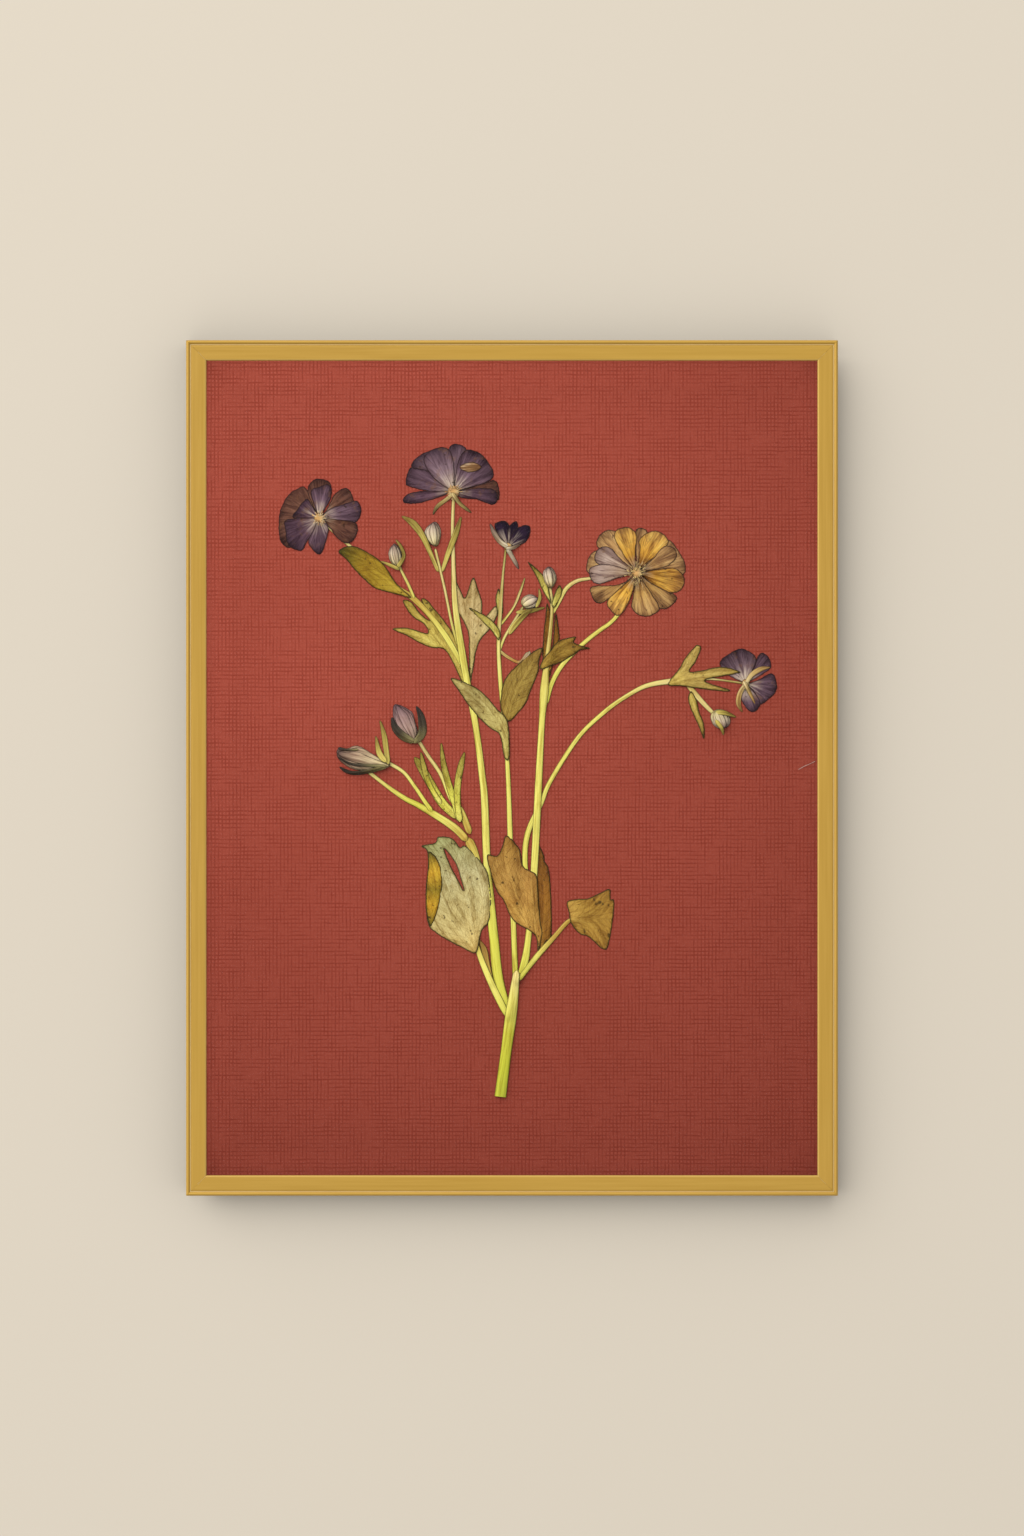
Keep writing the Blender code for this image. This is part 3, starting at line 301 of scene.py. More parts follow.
world = bpy.data.worlds.new("soft_room")
world.use_nodes = True
world.node_tree.nodes["Background"].inputs["Color"].default_value = (1, 1, 1, 1)
world.node_tree.nodes["Background"].inputs["Strength"].default_value = WORLD_STRENGTH
bpy.context.scene.world = world
bpy.context.scene.cycles.diffuse_bounces = 0
print("wall, floor and key light are in place")

# %% [markdown]
# The frame is a wooden moulding with satin gold paint. Its section never changes along a rail, so a node
# tree sweeps that section along a straight line and then places every point by rule: how far in from the
# outer edge and how deep behind the front it lies. The mitre at each end falls out of the same rule,
# since a rail is shorter by as much as a point lies inward. The section is in millimetres: inward from
# the outer edge, then backward.

# %% Draw the moulding's section
FACE_WIDTH = 10.0
LIP_THICKNESS = 3.0
RABBET_WALL = 5.0
FRAME_DEPTH = 20.0


def rounded(centre, radius, start, end, steps):
    """Points on part of a circle, with the angles in degrees."""
    turns = [math.radians(start + (end - start) * step / steps) for step in range(steps + 1)]
    return [(centre[0] + radius * math.cos(turn), centre[1] - radius * math.sin(turn)) for turn in turns]


BEAD = rounded((0.9, 0.9), 0.9, 180, 25, 9)
GROOVE = [(1.84, 0.74)] + rounded((2.12, 0.74), 0.14, 205, 335, 4) + [(2.4, 0.72)]
FACE = rounded((2.86, 0.84), 0.27, 165, 92, 4) + [(3.2, 0.57), (8.8, 0.6)]
LIP_EDGE = rounded((9.2, 1.4), 0.8, 88, 5, 7)
BEHIND = [
    (FACE_WIDTH, LIP_THICKNESS), (RABBET_WALL, LIP_THICKNESS), (RABBET_WALL, FRAME_DEPTH), (0, FRAME_DEPTH),
]
SECTION = BEAD + GROOVE + FACE + LIP_EDGE + BEHIND
print("the moulding's section has", len(SECTION), "points")

# %% Helpers for geometry nodes
def new_tree(name, inputs):
    """An empty geometry node tree with named inputs, its input node and its output node."""
    tree = bpy.data.node_groups.new(name, "GeometryNodeTree")
    tree.interface.new_socket("Geometry", in_out="OUTPUT", socket_type="NodeSocketGeometry")
    for label, kind in inputs.items():
        tree.interface.new_socket(label, in_out="INPUT", socket_type="NodeSocket" + kind)
    return tree, tree.nodes.new("NodeGroupInput"), tree.nodes.new("NodeGroupOutput")


def end_tree(tree, given, result, shape):
    """The last nodes of every tree: its copies are made real and get the material."""
    real = add_node(tree, "GeometryNodeRealizeInstances", {0: shape})
    inputs = {0: real.outputs[0], "Material": given.outputs["Material"]}
    tree.links.new(add_node(tree, "GeometryNodeSetMaterial", inputs).outputs[0], result.inputs[0])
    return tree


def run_tree(name, tree, values):
    """The plain mesh that a tree gives with these input values."""
    helper = bpy.data.objects.new(name + "_helper", bpy.data.meshes.new(name + "_helper"))
    modifier = helper.modifiers.new("nodes", "NODES")
    modifier.node_group = tree
    for item in tree.interface.items_tree:
        if item.in_out == "INPUT":
            modifier[item.identifier] = values[item.name]
    bpy.context.scene.collection.objects.link(helper)
    bpy.context.view_layer.update()
    evaluated = helper.evaluated_get(bpy.context.evaluated_depsgraph_get())
    mesh = bpy.data.meshes.new_from_object(evaluated)
    mesh.name = name
    helper.modifiers.remove(modifier)
    bpy.data.objects.remove(helper)
    return mesh


def point_outwards(mesh):
    work = bmesh.new()
    work.from_mesh(mesh)
    bmesh.ops.remove_doubles(work, verts=work.verts, dist=1e-7)
    bmesh.ops.recalc_face_normals(work, faces=work.faces)
    work.to_mesh(mesh)
    work.free()


def show(name, mesh, replaces=()):
    """The finished piece: it rides on the body and hides the solids that it stands for."""
    piece = bpy.data.objects.new(name, mesh)
    bpy.context.scene.collection.objects.link(piece)
    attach(piece, "root")
    if replaces:
        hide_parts(*replaces)
    return piece


print("geometry node helpers are ready")

# %% Build the tree that makes a mitred rail
def rail_tree():
    tree, given, result = new_tree("mitred_rail", {
        "Section": "Object", "Length": "Float", "Mitre gap": "Float", "Distance out": "Float",
        "Turn": "Float", "Front": "Float", "Middle height": "Float", "Material": "Material",
    })
    section = add_node(tree, "GeometryNodeObjectInfo", {"Object": given.outputs["Section"]})
    where = tree.nodes.new("GeometryNodeInputPosition").outputs[0]
    kept = add_node(tree, "GeometryNodeCaptureAttribute", {0: section.outputs["Geometry"]})
    kept.capture_items.new("VECTOR", "Section place")
    tree.links.new(where, kept.inputs[1])
    line = add_node(tree, "GeometryNodeCurvePrimitiveLine", {"Start": (-1, 0, 0), "End": (1, 0, 0)})
    ends = add_node(tree, "GeometryNodeCaptureAttribute", {0: line.outputs[0]})
    ends.capture_items.new("VECTOR", "End")
    tree.links.new(where, ends.inputs[1])
    swept = add_node(tree, "GeometryNodeCurveToMesh", {
        "Curve": ends.outputs[0], "Profile Curve": kept.outputs[0], "Fill Caps": True,
    })
    inward, depth = separated(tree, kept.outputs[1])[:2]
    end_place = separated(tree, ends.outputs[1])[0]
    half = maths(tree, "MULTIPLY", given.outputs["Length"], 0.5)
    reach = maths(tree, "SUBTRACT", maths(tree, "SUBTRACT", half, inward), given.outputs["Mitre gap"])
    x = maths(tree, "MULTIPLY", end_place, reach)
    y = maths(tree, "ADD", given.outputs["Front"], depth)
    z = maths(tree, "SUBTRACT", inward, given.outputs["Distance out"])
    target = add_node(tree, "ShaderNodeCombineXYZ", {0: x, 1: y, 2: z})
    placed = add_node(tree, "GeometryNodeSetPosition", {0: swept.outputs[0], "Position": target.outputs[0]})
    turn = add_node(tree, "ShaderNodeCombineXYZ", {1: maths(tree, "MULTIPLY", given.outputs["Turn"], -1.0)})
    lift = add_node(tree, "ShaderNodeCombineXYZ", {2: given.outputs["Middle height"]})
    turned = add_node(tree, "GeometryNodeTransform", {
        0: placed.outputs[0], "Rotation": turn.outputs[0], "Translation": lift.outputs[0],
    })
    return end_tree(tree, given, result, turned.outputs[0])


RAIL_TREE = rail_tree()
print("the rail tree has", len(RAIL_TREE.nodes), "nodes")

# %% [markdown]
# Gold paint on wood is part metal, part lacquer: brushed on along the rail, so its faint streaks run that
# way. The streaks are noise drawn out along the rail. The groove is painted paler, as painted light against
# the shade that falls in it, and the lip's edge carries a painted highlight.

# %% Mix the gold paint
GOLD = (207, 162, 62)
GOLD_STREAK_DARK = (196, 151, 56)
GOLD_STREAK_LIGHT = (209, 165, 70)
# Painted light for the groove, and a painted highlight for the lip's edge
GROOVE_PAINTED_LIGHT = (232, 202, 146)
LIP_EDGE_PAINTED_HIGHLIGHT = (244, 216, 140)
GROOVE_INWARD = 2.12 * MM
LIP_EDGE_INWARD = 9.75 * MM


def inward_distance(tree, where, middle):
    """How far a place lies inward from the frame's nearest outer edge."""
    reach = separated(tree, vector_maths(tree, "ABSOLUTE", vector_maths(tree, "SUBTRACT", where, middle)))
    from_side = maths(tree, "SUBTRACT", FRAME_WIDTH / 2, reach[0])
    from_end = maths(tree, "SUBTRACT", FRAME_HEIGHT / 2, reach[2])
    return maths(tree, "MINIMUM", from_side, from_end)


def gold_finish(name, stretch):
    finish, tree, shader = new_finish(name, 0.42, 0.25)
    where = place(tree)
    streaks = noise(tree, stretched(tree, where, stretch), 60, 4, 0.6)
    clouds = noise(tree, where, 9, 2)
    colour = mixed(tree, fade(tree, streaks, 0.3, 0.7), rgba(GOLD_STREAK_DARK), rgba(GOLD_STREAK_LIGHT))
    colour = mixed(tree, fade(tree, clouds, 0.35, 0.7, 0, 0.5), colour, rgba(GOLD))
    inward = inward_distance(tree, where, (0, 0, CENTRE_Z))
    # Painted light in the groove and a painted highlight along the lip's edge
    groove_light_mask = close_to(tree, inward, GROOVE_INWARD, 0.14 * MM, 0.34 * MM, 0.6)
    lip_highlight_mask = close_to(tree, inward, LIP_EDGE_INWARD, 0.2 * MM, 0.7 * MM, 0.2)
    colour = mixed(tree, groove_light_mask, colour, rgba(GROOVE_PAINTED_LIGHT))
    colour = mixed(tree, lip_highlight_mask, colour, rgba(LIP_EDGE_PAINTED_HIGHLIGHT))
    set_finish(tree, shader, colour, streaks, 0.04 * MM, 0.5)
    tree.links.new(fade(tree, streaks, 0.2, 0.8, 0.36, 0.5), shader.inputs["Roughness"])
    return finish


GOLD_ACROSS = gold_finish("gold_paint_across", (0.25, 12, 12))
GOLD_UP = gold_finish("gold_paint_up", (12, 12, 0.25))
print("gold paint is mixed")

# %% Make the four rails
section_curve = bpy.data.curves.new("section", "CURVE")
section_curve.dimensions = "2D"
section_spline = section_curve.splines.new("POLY")
section_spline.points.add(len(SECTION) - 1)
for point, (inward, depth) in zip(section_spline.points, SECTION):
    point.co = (inward * MM, depth * MM, 0, 1)
section_spline.use_cyclic_u = True
section_object = bpy.data.objects.new("section", section_curve)
bpy.context.scene.collection.objects.link(section_object)
RAILS = {
    "bottom_rail": (0, FRAME_WIDTH, FRAME_HEIGHT / 2, GOLD_ACROSS),
    "right_rail": (1, FRAME_HEIGHT, FRAME_WIDTH / 2, GOLD_UP),
    "top_rail": (2, FRAME_WIDTH, FRAME_HEIGHT / 2, GOLD_ACROSS),
    "left_rail": (3, FRAME_HEIGHT, FRAME_WIDTH / 2, GOLD_UP),
}
for node, (quarter_turns, length, out, paint) in RAILS.items():
    rail_mesh = run_tree(node, RAIL_TREE, {
        "Section": section_object, "Length": length, "Mitre gap": 0.05 * MM, "Distance out": out,
        "Turn": quarter_turns * math.pi / 2, "Front": FRONT_Y, "Middle height": CENTRE_Z, "Material": paint,
    })
    point_outwards(rail_mesh)
    rail_mesh.shade_smooth()
    rail_mesh.set_sharp_from_angle(angle=math.radians(32))
    let_key_light_through(show("moulded_" + node, rail_mesh, [node]))
bpy.data.objects.remove(section_object)
print("four rails of", len(rail_mesh.polygons), "faces each")

# %% [markdown]
# The mount card is pressed with a linen pattern: fine dark grooves between threads, in rows a little under 2
# mm apart, and slightly uneven. Two sine waves across each other give the grid, and noise bends and fades it.
# A pool of light is painted on the card: it is brightest above its middle on the left and painted darker away
# from there. Painted light also makes it a little lighter again next to the lip, so the card shows less shade
# there than a real lip would cast.

# %% Press the linen pattern into the card
THREAD_ACROSS = 1.8 * MM
THREAD_UP = 1.97 * MM
LINEN_GROOVE = (145, 59, 45)
LINEN_THREAD = (185, 90, 73)
LINEN_CLOUD = (156, 69, 53)
# Where the painted pool of light on the card is brightest
PAINTED_LIGHT_RIGHT = -70 * MM
PAINTED_LIGHT_UP = 120 * MM
# Painted light next to the lip: how far in it reaches, and how much lighter it makes the card
LIP_SHADE_END = 24 * MM
PAINTED_LIGHT_AT_LIP = 1.2


def linen_finish():
    finish, tree, shader = new_finish("red_linen_card", 0.9, gloss=0.0)
    where = place(tree)
    shift = times(tree, wandering(tree, where, 130.0, 2.0), 0.9 * MM)
    bent = separated(tree, vector_maths(tree, "ADD", where, shift))
    across = maths(tree, "SINE", maths(tree, "MULTIPLY", bent[0], 2 * math.pi / THREAD_ACROSS))
    up = maths(tree, "SINE", maths(tree, "MULTIPLY", bent[2], 2 * math.pi / THREAD_UP))
    uneven_across = noise(tree, stretched(tree, where, (1, 1, 0.25)), 380, 2)
    uneven_up = noise(tree, stretched(tree, where, (0.25, 1, 1)), 380, 2)
    across = maths(tree, "MULTIPLY", across, fade(tree, uneven_across, 0.35, 0.6, 0.1, 1.0))
    up = maths(tree, "MULTIPLY", up, fade(tree, uneven_up, 0.35, 0.6, 0.1, 1.0))
    weave = maths(tree, "MINIMUM", across, up)
    speckle = noise(tree, where, 1500, 2, 0.7)
    height = maths(tree, "ADD", weave, maths(tree, "MULTIPLY", speckle, 1.2))
    colour = mixed(tree, fade(tree, height, -0.7, 1.2), rgba(LINEN_GROOVE), rgba(LINEN_THREAD))
    clouds = fade(tree, noise(tree, where, 14, 2), 0.35, 0.7, 0, 0.2)
    colour = mixed(tree, clouds, colour, rgba(LINEN_CLOUD))
    to_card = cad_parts["mount_card"].matrix_world.inverted()
    # Painted light: the card is painted brightest near this spot and painted darker away from it
    painted_light_centre = to_card @ Vector((PAINTED_LIGHT_RIGHT, CARD_FRONT_Y, CENTRE_Z + PAINTED_LIGHT_UP))
    away = add_node(tree, "ShaderNodeVectorMath", {0: where, 1: painted_light_centre}, operation="DISTANCE")
    colour = mixed(tree, fade(tree, away.outputs["Value"], 90 * MM, 380 * MM, 0, 0.36), colour, (0, 0, 0, 1))
    middle = to_card @ Vector((0, CARD_FRONT_Y, CENTRE_Z))
    # Painted light next to the lip, lightening the shade that the lip casts on the card
    painted_light_near_lip = fade(tree, inward_distance(tree, where, middle), LIP_SHADE_END, FACE_WIDTH * MM)
    colour = mixed(tree, painted_light_near_lip, colour, (PAINTED_LIGHT_AT_LIP, PAINTED_LIGHT_AT_LIP, PAINTED_LIGHT_AT_LIP, 1), "MULTIPLY")
    set_finish(tree, shader, colour, weave, 0.03 * MM, 0.5)
    return finish


def dress(node, finish):
    """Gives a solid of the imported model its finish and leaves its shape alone."""
    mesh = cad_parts[node].data
    mesh.materials.clear()
    mesh.materials.append(finish)


dress("mount_card", linen_finish())
print("the card has its linen finish")

# %% [markdown]
# The glazing is picture glass that hardly reflects: it lets nearly all light through, and only a faint
# gloss shows at a slant. A very low alpha does that and also survives the export, and a dark colour of
# its own keeps it from adding a veil.

# %% Dress the glazing, the spacers and the back
GLAZING_COLOUR = (0.14, 0.13, 0.13, 1)
GLAZING_ALPHA = 0.004
WORN_SHARE = 0.72


def glazing_finish():
    finish, tree, shader = new_finish("clear_glazing", 0.08, gloss=0.3)
    shader.inputs["Base Color"].default_value = GLAZING_COLOUR
    shader.inputs["Alpha"].default_value = GLAZING_ALPHA
    return finish


def fibre_finish(name, dark, light, scale, grain, roughness=0.85):
    """Board, felt or paper: short fibres of two shades, and a fine tooth."""
    finish, tree, shader = new_finish(name, roughness)
    where = place(tree)
    fibres = noise(tree, stretched(tree, where, grain), scale, 5, 0.7)
    colour = mixed(tree, fade(tree, fibres, 0.35, 0.65), rgba(dark), rgba(light))
    set_finish(tree, shader, colour, fibres, 0.08 * MM, 0.7)
    return finish


def steel_finish(name, colour, stretch):
    """Plated sheet metal with fine rolling marks and a little dullness."""
    finish, tree, shader = new_finish(name, 0.35, 1.0)
    where = place(tree)
    marks = noise(tree, stretched(tree, where, stretch), 900, 4, 0.65)
    dull = noise(tree, where, 220, 3)
    worn = tuple(int(channel * WORN_SHARE) for channel in colour)
    colour = mixed(tree, fade(tree, dull, 0.45, 0.75, 0, 0.8), rgba(colour), rgba(worn))
    set_finish(tree, shader, colour, marks, 0.01 * MM, 0.4)
    tree.links.new(fade(tree, marks, 0.3, 0.7, 0.26, 0.46), shader.inputs["Roughness"])
    return finish


dress("glazing", glazing_finish())
spacer_finish = fibre_finish("spacer_board", (224, 217, 198), (236, 230, 214), 400, (1, 1, 1))
for node in ("spacer_top", "spacer_bottom", "spacer_left", "spacer_right"):
    dress(node, spacer_finish)
    let_key_light_through(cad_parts[node])
dress("backing_board", fibre_finish("brown_fibreboard", (128, 97, 66), (158, 125, 88), 620, (1, 1, 0.4)))
felt_finish = fibre_finish("black_felt", (24, 22, 21), (62, 58, 55), 1400, (1, 1, 1), 0.95)
for node in ("wall_pad_left", "wall_pad_right"):
    dress(node, felt_finish)
hanger_finish = steel_finish("hanger_steel", (206, 196, 172), (1, 12, 12))
for node in ("sawtooth_hanger", "hanger_nail_left", "hanger_nail_right"):
    dress(node, hanger_finish)
tab_finish = steel_finish("tab_steel", (150, 152, 156), (1, 12, 12))
for number in range(1, 5):
    dress(f"retaining_tab_{number}", tab_finish)
print("glazing, spacers, board, hanger, tabs and pads are dressed")

# %% [markdown]
# Now the plant. Everything was pressed at once, so each leaf and petal sank onto what lay under it. To
# copy that, the script keeps a map of how high the pile already is, in cells of 0.4 mm. A new piece takes
# the pile's height, widened and softened, as its ground, and then raises the pile by its own thickness.
# Laid from back to front, no piece cuts through another, and each one drapes over the stalks beneath it.

# %% Draw smooth lines on the card, in millimetres
def on_card(points):
    """Pixels as millimetres right of and above the card's centre; a third column, a width, is scaled too."""
    points = np.array(points, float)
    scaled = points * PIXEL / MM
    scaled[:, 0] = (points[:, 0] - CENTRE_PIXEL[0]) * PIXEL / MM
    scaled[:, 1] = (CENTRE_PIXEL[1] - points[:, 1]) * PIXEL / MM
    return scaled


def smooth(points, closed=False, steps=6):
    """A soft curve through the given points (Catmull-Rom)."""
    points = np.array(points, float)
    count = len(points)
    t = np.arange(steps)[:, None] / steps
    weights = (
        (-t + 2 * t ** 2 - t ** 3) / 2, (2 - 5 * t ** 2 + 3 * t ** 3) / 2,
        (t + 4 * t ** 2 - 3 * t ** 3) / 2, (t ** 3 - t ** 2) / 2,
    )
    rows = []
    for i in range(count if closed else count - 1):
        around = np.arange(i - 1, i + 3)
        group = points[around % count] if closed else points[np.clip(around, 0, count - 1)]
        rows.append(sum(weight * point for weight, point in zip(weights, group)))
    if not closed:
        rows.append(points[-1:])
    return np.vstack(rows)


def evenly(line, step, closed=False):
    """The same line with its points at even steps."""
    if closed:
        line = np.vstack([line, line[:1]])
    run = np.linalg.norm(np.diff(line[:, :2], axis=0), axis=1)
    along = np.concatenate([[0], np.cumsum(run)])
    count = max(int(round(along[-1] / step)), 4)
    wanted = np.linspace(0, along[-1], count + 1)
    result = np.stack([np.interp(wanted, along, column) for column in line.T], axis=1)
    return result[:-1] if closed else result


def anticlockwise(loop):
    following = np.roll(loop, -1, 0)
    area = (loop[:, 0] * following[:, 1] - loop[:, 1] * following[:, 0]).sum()
    return loop if area > 0 else loop[::-1]


def ragged(loop, amount, rng):
    """A dried edge: the outline waves in and out, in a few lengths of wave."""
    along = np.roll(loop, -1, 0) - np.roll(loop, 1, 0)
    outward = np.stack([along[:, 1], -along[:, 0]], axis=1)
    outward /= np.maximum(np.linalg.norm(outward, axis=1, keepdims=True), 1e-6)
    girth = np.linalg.norm(np.diff(loop, axis=0), axis=1).sum()
    turn = np.linspace(0, 2 * math.pi, len(loop), endpoint=False)
    shift = np.zeros(len(loop))
    for wave_length in (9.0, 5.0, 2.8, 1.7):
        waves = max(int(girth / wave_length), 1)
        shift += np.sin(turn * waves + rng.uniform(0, 2 * math.pi)) / 4
    return loop + outward * (amount * shift)[:, None]


print("a pixel at the card's centre lies at", on_card([CENTRE_PIXEL])[0])

# %% Tell inside from outside, and how far from a line
def inside(points, loop):
    """Which points lie inside the loop."""
    x, z = points[:, :1], points[:, 1:2]
    following = np.roll(loop, -1, 0)
    rises = following[:, 1] - loop[:, 1]
    rises = np.where(rises == 0, 1e-12, rises)
    crosses = (loop[:, 1] > z) != (following[:, 1] > z)
    reach = loop[:, 0] + (z - loop[:, 1]) / rises * (following[:, 0] - loop[:, 0])
    return np.count_nonzero(crosses & (x < reach), axis=1) % 2 == 1


def nearest_on(points, line):
    """For each point: how far the line is, how far along it the nearest place lies, and on which side."""
    start, run = line[:-1], np.diff(line, axis=0)
    length = np.maximum(np.linalg.norm(run, axis=1), 1e-6)
    begins = np.concatenate([[0], np.cumsum(length)[:-1]])
    offset = points[:, None] - start
    share = np.clip((offset * run).sum(-1) / length ** 2, 0, 1)
    distance = np.linalg.norm(offset - share[..., None] * run, axis=-1)
    best = distance.argmin(1)
    row = np.arange(len(points))
    side = np.sign(run[best, 0] * offset[row, best, 1] - run[best, 1] * offset[row, best, 0])
    return distance[row, best], begins[best] + share[row, best] * length[best], side


def rim_distance(points, loop):
    return nearest_on(points, np.vstack([loop, loop[:1]]))[0]


print("outline helpers are ready")

# %% Keep the map of the pile
CELL = 0.4
PILE_LOW = np.array([-126.0, -172.0])
PILE_HIGH = np.array([142.0, 168.0])
DRAPE_CELLS = 3
WINDOW_MARGIN = 8
pile = np.zeros(tuple(((PILE_HIGH - PILE_LOW) / CELL).astype(int)))


def spread(values, combine):
    """Each cell takes the highest, or the mean, of those near it, first along x and then along z."""
    for axis in (0, 1):
        pad = [(DRAPE_CELLS, DRAPE_CELLS) if axis == a else (0, 0) for a in (0, 1)]
        padded = np.pad(values, pad, mode="edge")
        size = values.shape[axis]
        shifted = [padded.take(range(k, k + size), axis) for k in range(2 * DRAPE_CELLS + 1)]
        values = combine(shifted, axis=0)
    return values


def settle(loop, rise, holes=()):
    """Lays an outline on the pile: returns the ground's height at any point, and raises the pile."""
    low = np.floor((loop.min(0) - PILE_LOW) / CELL).astype(int) - WINDOW_MARGIN
    high = np.ceil((loop.max(0) - PILE_LOW) / CELL).astype(int) + WINDOW_MARGIN
    part = pile[low[0]:high[0], low[1]:high[1]]
    ground = spread(spread(part, np.max), np.mean)
    columns, rows = np.meshgrid(np.arange(part.shape[0]), np.arange(part.shape[1]), indexing="ij")
    cells = np.stack([columns.ravel(), rows.ravel()], axis=1)
    places = PILE_LOW + (low + cells + 0.5) * CELL
    covered = inside(places, loop)
    for hole in holes:
        covered &= ~inside(places, hole)
    covered = covered.reshape(part.shape)
    part[covered] = ground[covered] + rise

    def height(points):
        spot = np.clip((points - PILE_LOW) / CELL - 0.5 - low, 0, np.array(part.shape) - 1.001)
        cell = spot.astype(int)
        x, z = (spot - cell).T
        i, j = cell.T
        near = ground[i, j] * (1 - x) + ground[i + 1, j] * x
        far = ground[i, j + 1] * (1 - x) + ground[i + 1, j + 1] * x
        return near * (1 - z) + far * z

    return height


print("the pile's map has", pile.size, "cells")

# %% [markdown]
# Each pressed piece is a thin closed solid: a front, a back and a narrow wall round the rim. Beside its
# shape it carries four things for its finish: its tint, its grain (places along and across the piece),
# how far each point is from the rim, and how strong a rib is there.

# %% Collect thin solids
solids = {}
CARD_CLEARANCE = 0.05
ROW_SHARE = 0.87


def shades(t, colours):
    """Tints between the colours as t runs from 0 to 1."""
    table = np.array([linear(colour) for colour in colours])
    stops = np.linspace(0, 1, len(colours))
    return np.stack([np.interp(t, stops, table[:, channel]) for channel in range(3)], axis=1)


def collect(node, finish, flat, base, top, faces, tint, grain, rim, rib):
    """Adds a thin solid to a node: its front faces run anticlockwise as the camera sees them."""
    count = len(flat)
    front = np.stack([flat[:, 0], -top, flat[:, 1]], axis=1)
    back = np.stack([flat[:, 0], -base, flat[:, 1]], axis=1)
    edges = {(a, b) for face in faces for a, b in zip(face, face[1:] + face[:1])}
    walls = sorted((b, a, count + a, count + b) for a, b in edges if (b, a) not in edges)
    solids.setdefault(node, []).append({
        "finish": finish,
        "places": np.vstack([front, back]),
        "faces": faces + [tuple(count + k for k in reversed(face)) for face in faces] + walls,
        "tint": np.vstack([tint, tint]),
        "grain": np.vstack([grain, grain]),
        "rim": np.concatenate([rim, rim]),
        "rib": np.concatenate([rib, rib]),
    })


def filled(loop, step, rng, holes=()):
    """A triangle net inside the loop: its own points, and staggered ones within."""
    low, high = loop.min(0), loop.max(0)
    rows = np.arange(low[1], high[1], step * ROW_SHARE)
    columns = np.arange(low[0], high[0], step)
    grid = [(x + (row % 2) * step / 2, z) for row, z in enumerate(rows) for x in columns]
    grid = np.array(grid) + rng.uniform(-0.12, 0.12, (len(grid), 2)) * step
    grid = grid[inside(grid, loop)]
    for edge in (loop, *holes):
        grid = grid[rim_distance(grid, edge) > step * 0.5]
    points = np.vstack([loop, *holes, grid])
    outlines, begin = [], 0
    for edge in (loop, *holes):
        outlines.append(list(range(begin, begin + len(edge))))
        begin += len(edge)
    found = delaunay_2d_cdt([Vector(point) for point in points], [], outlines, 1, 1e-5)
    flat = np.array([tuple(point) for point in found[0]])
    faces = [tuple(face) for face, origin in zip(found[2], found[5]) if origin == [0]]
    used = sorted({k for face in faces for k in face})
    number = {k: i for i, k in enumerate(used)}
    return flat[used], [tuple(number[k] for k in face) for face in faces]


def ripple(points, wave_length, rng):
    """Gentle unevenness between -1 and 1."""
    total = np.zeros(len(points))
    for _ in range(4):
        turn, phase = rng.uniform(0, 2 * math.pi, 2)
        stretch = rng.uniform(0.8, 1.3) * 2 * math.pi / wave_length
        total += np.sin((points[:, 0] * math.cos(turn) + points[:, 1] * math.sin(turn)) * stretch + phase) / 4
    return total


print("ready to collect solids")

# %% [markdown]
# A stalk is a ribbon along a curve, as wide as it was pressed and rounded on top, with a few lengthwise
# ribs. Its points lie in rows across the curve, so its grain is known exactly. Narrow sepals and lobes
# are the same ribbon, only thin and flat.

# %% Lay a stalk
STALK_STEP = 0.8
STALK_COLUMNS = 9
STALK_RIBS = 0.1
THICK_SHARE = 0.42


def lay_stalk(node, stalk, colours, finish="stalk", thickness=None, soft_ends=(2.0, 2.0)):
    line = evenly(smooth(on_card(stalk)), STALK_STEP)
    middle, half = line[:, :2], line[:, 2] / 2
    run = np.gradient(middle, axis=0)
    run /= np.linalg.norm(run, axis=1, keepdims=True)
    across = np.stack([-run[:, 1], run[:, 0]], axis=1)
    share = np.sin(np.linspace(-1, 1, STALK_COLUMNS) * math.pi / 2)
    along = np.concatenate([[0], np.cumsum(np.linalg.norm(np.diff(middle, axis=0), axis=1))])
    full = np.clip(half * THICK_SHARE, 0.25, 1.0) if thickness is None else np.full(len(half), thickness)
    for soft_end, from_end in zip(soft_ends, (along, along[-1] - along)):
        if soft_end:
            full = full * np.clip(0.15 + from_end / soft_end, 0, 1)
            half = half * np.sqrt(np.clip(from_end / (half + 0.3) + 0.1, 0, 1))
    flat = (middle[:, None] + across[:, None] * (half[:, None] * share)[..., None]).reshape(-1, 2)
    dome = 0.2 + 0.8 * np.sqrt(np.clip(1 - share ** 2, 0, 1)) + STALK_RIBS * np.cos(share * math.pi * 3)
    loop = np.vstack([flat.reshape(-1, STALK_COLUMNS, 2)[:, 0], flat.reshape(-1, STALK_COLUMNS, 2)[::-1, -1]])
    height = settle(loop, float(full.mean()) * 0.9)
    base = height(flat) + CARD_CLEARANCE
    top = base + (full[:, None] * dome).ravel()
    faces = []
    for row in range(len(middle) - 1):
        for column in range(STALK_COLUMNS - 1):
            a = row * STALK_COLUMNS + column
            faces.append((a, a + STALK_COLUMNS, a + STALK_COLUMNS + 1, a + 1))
    tint = np.repeat(shades(along / along[-1], colours), STALK_COLUMNS, axis=0)
    number = len(solids.get(node, []))
    grain = np.stack([
        (half[:, None] * share).ravel(), np.repeat(along, STALK_COLUMNS), np.full(len(flat), 7.0 * number),
    ], axis=1)
    rim = (half[:, None] * (1 - np.abs(share))).ravel() * (2 if finish == "leaf" else 1)
    collect(node, finish, flat, base, top, faces, tint, grain, rim, np.zeros(len(flat)))


print("stalks can be laid")

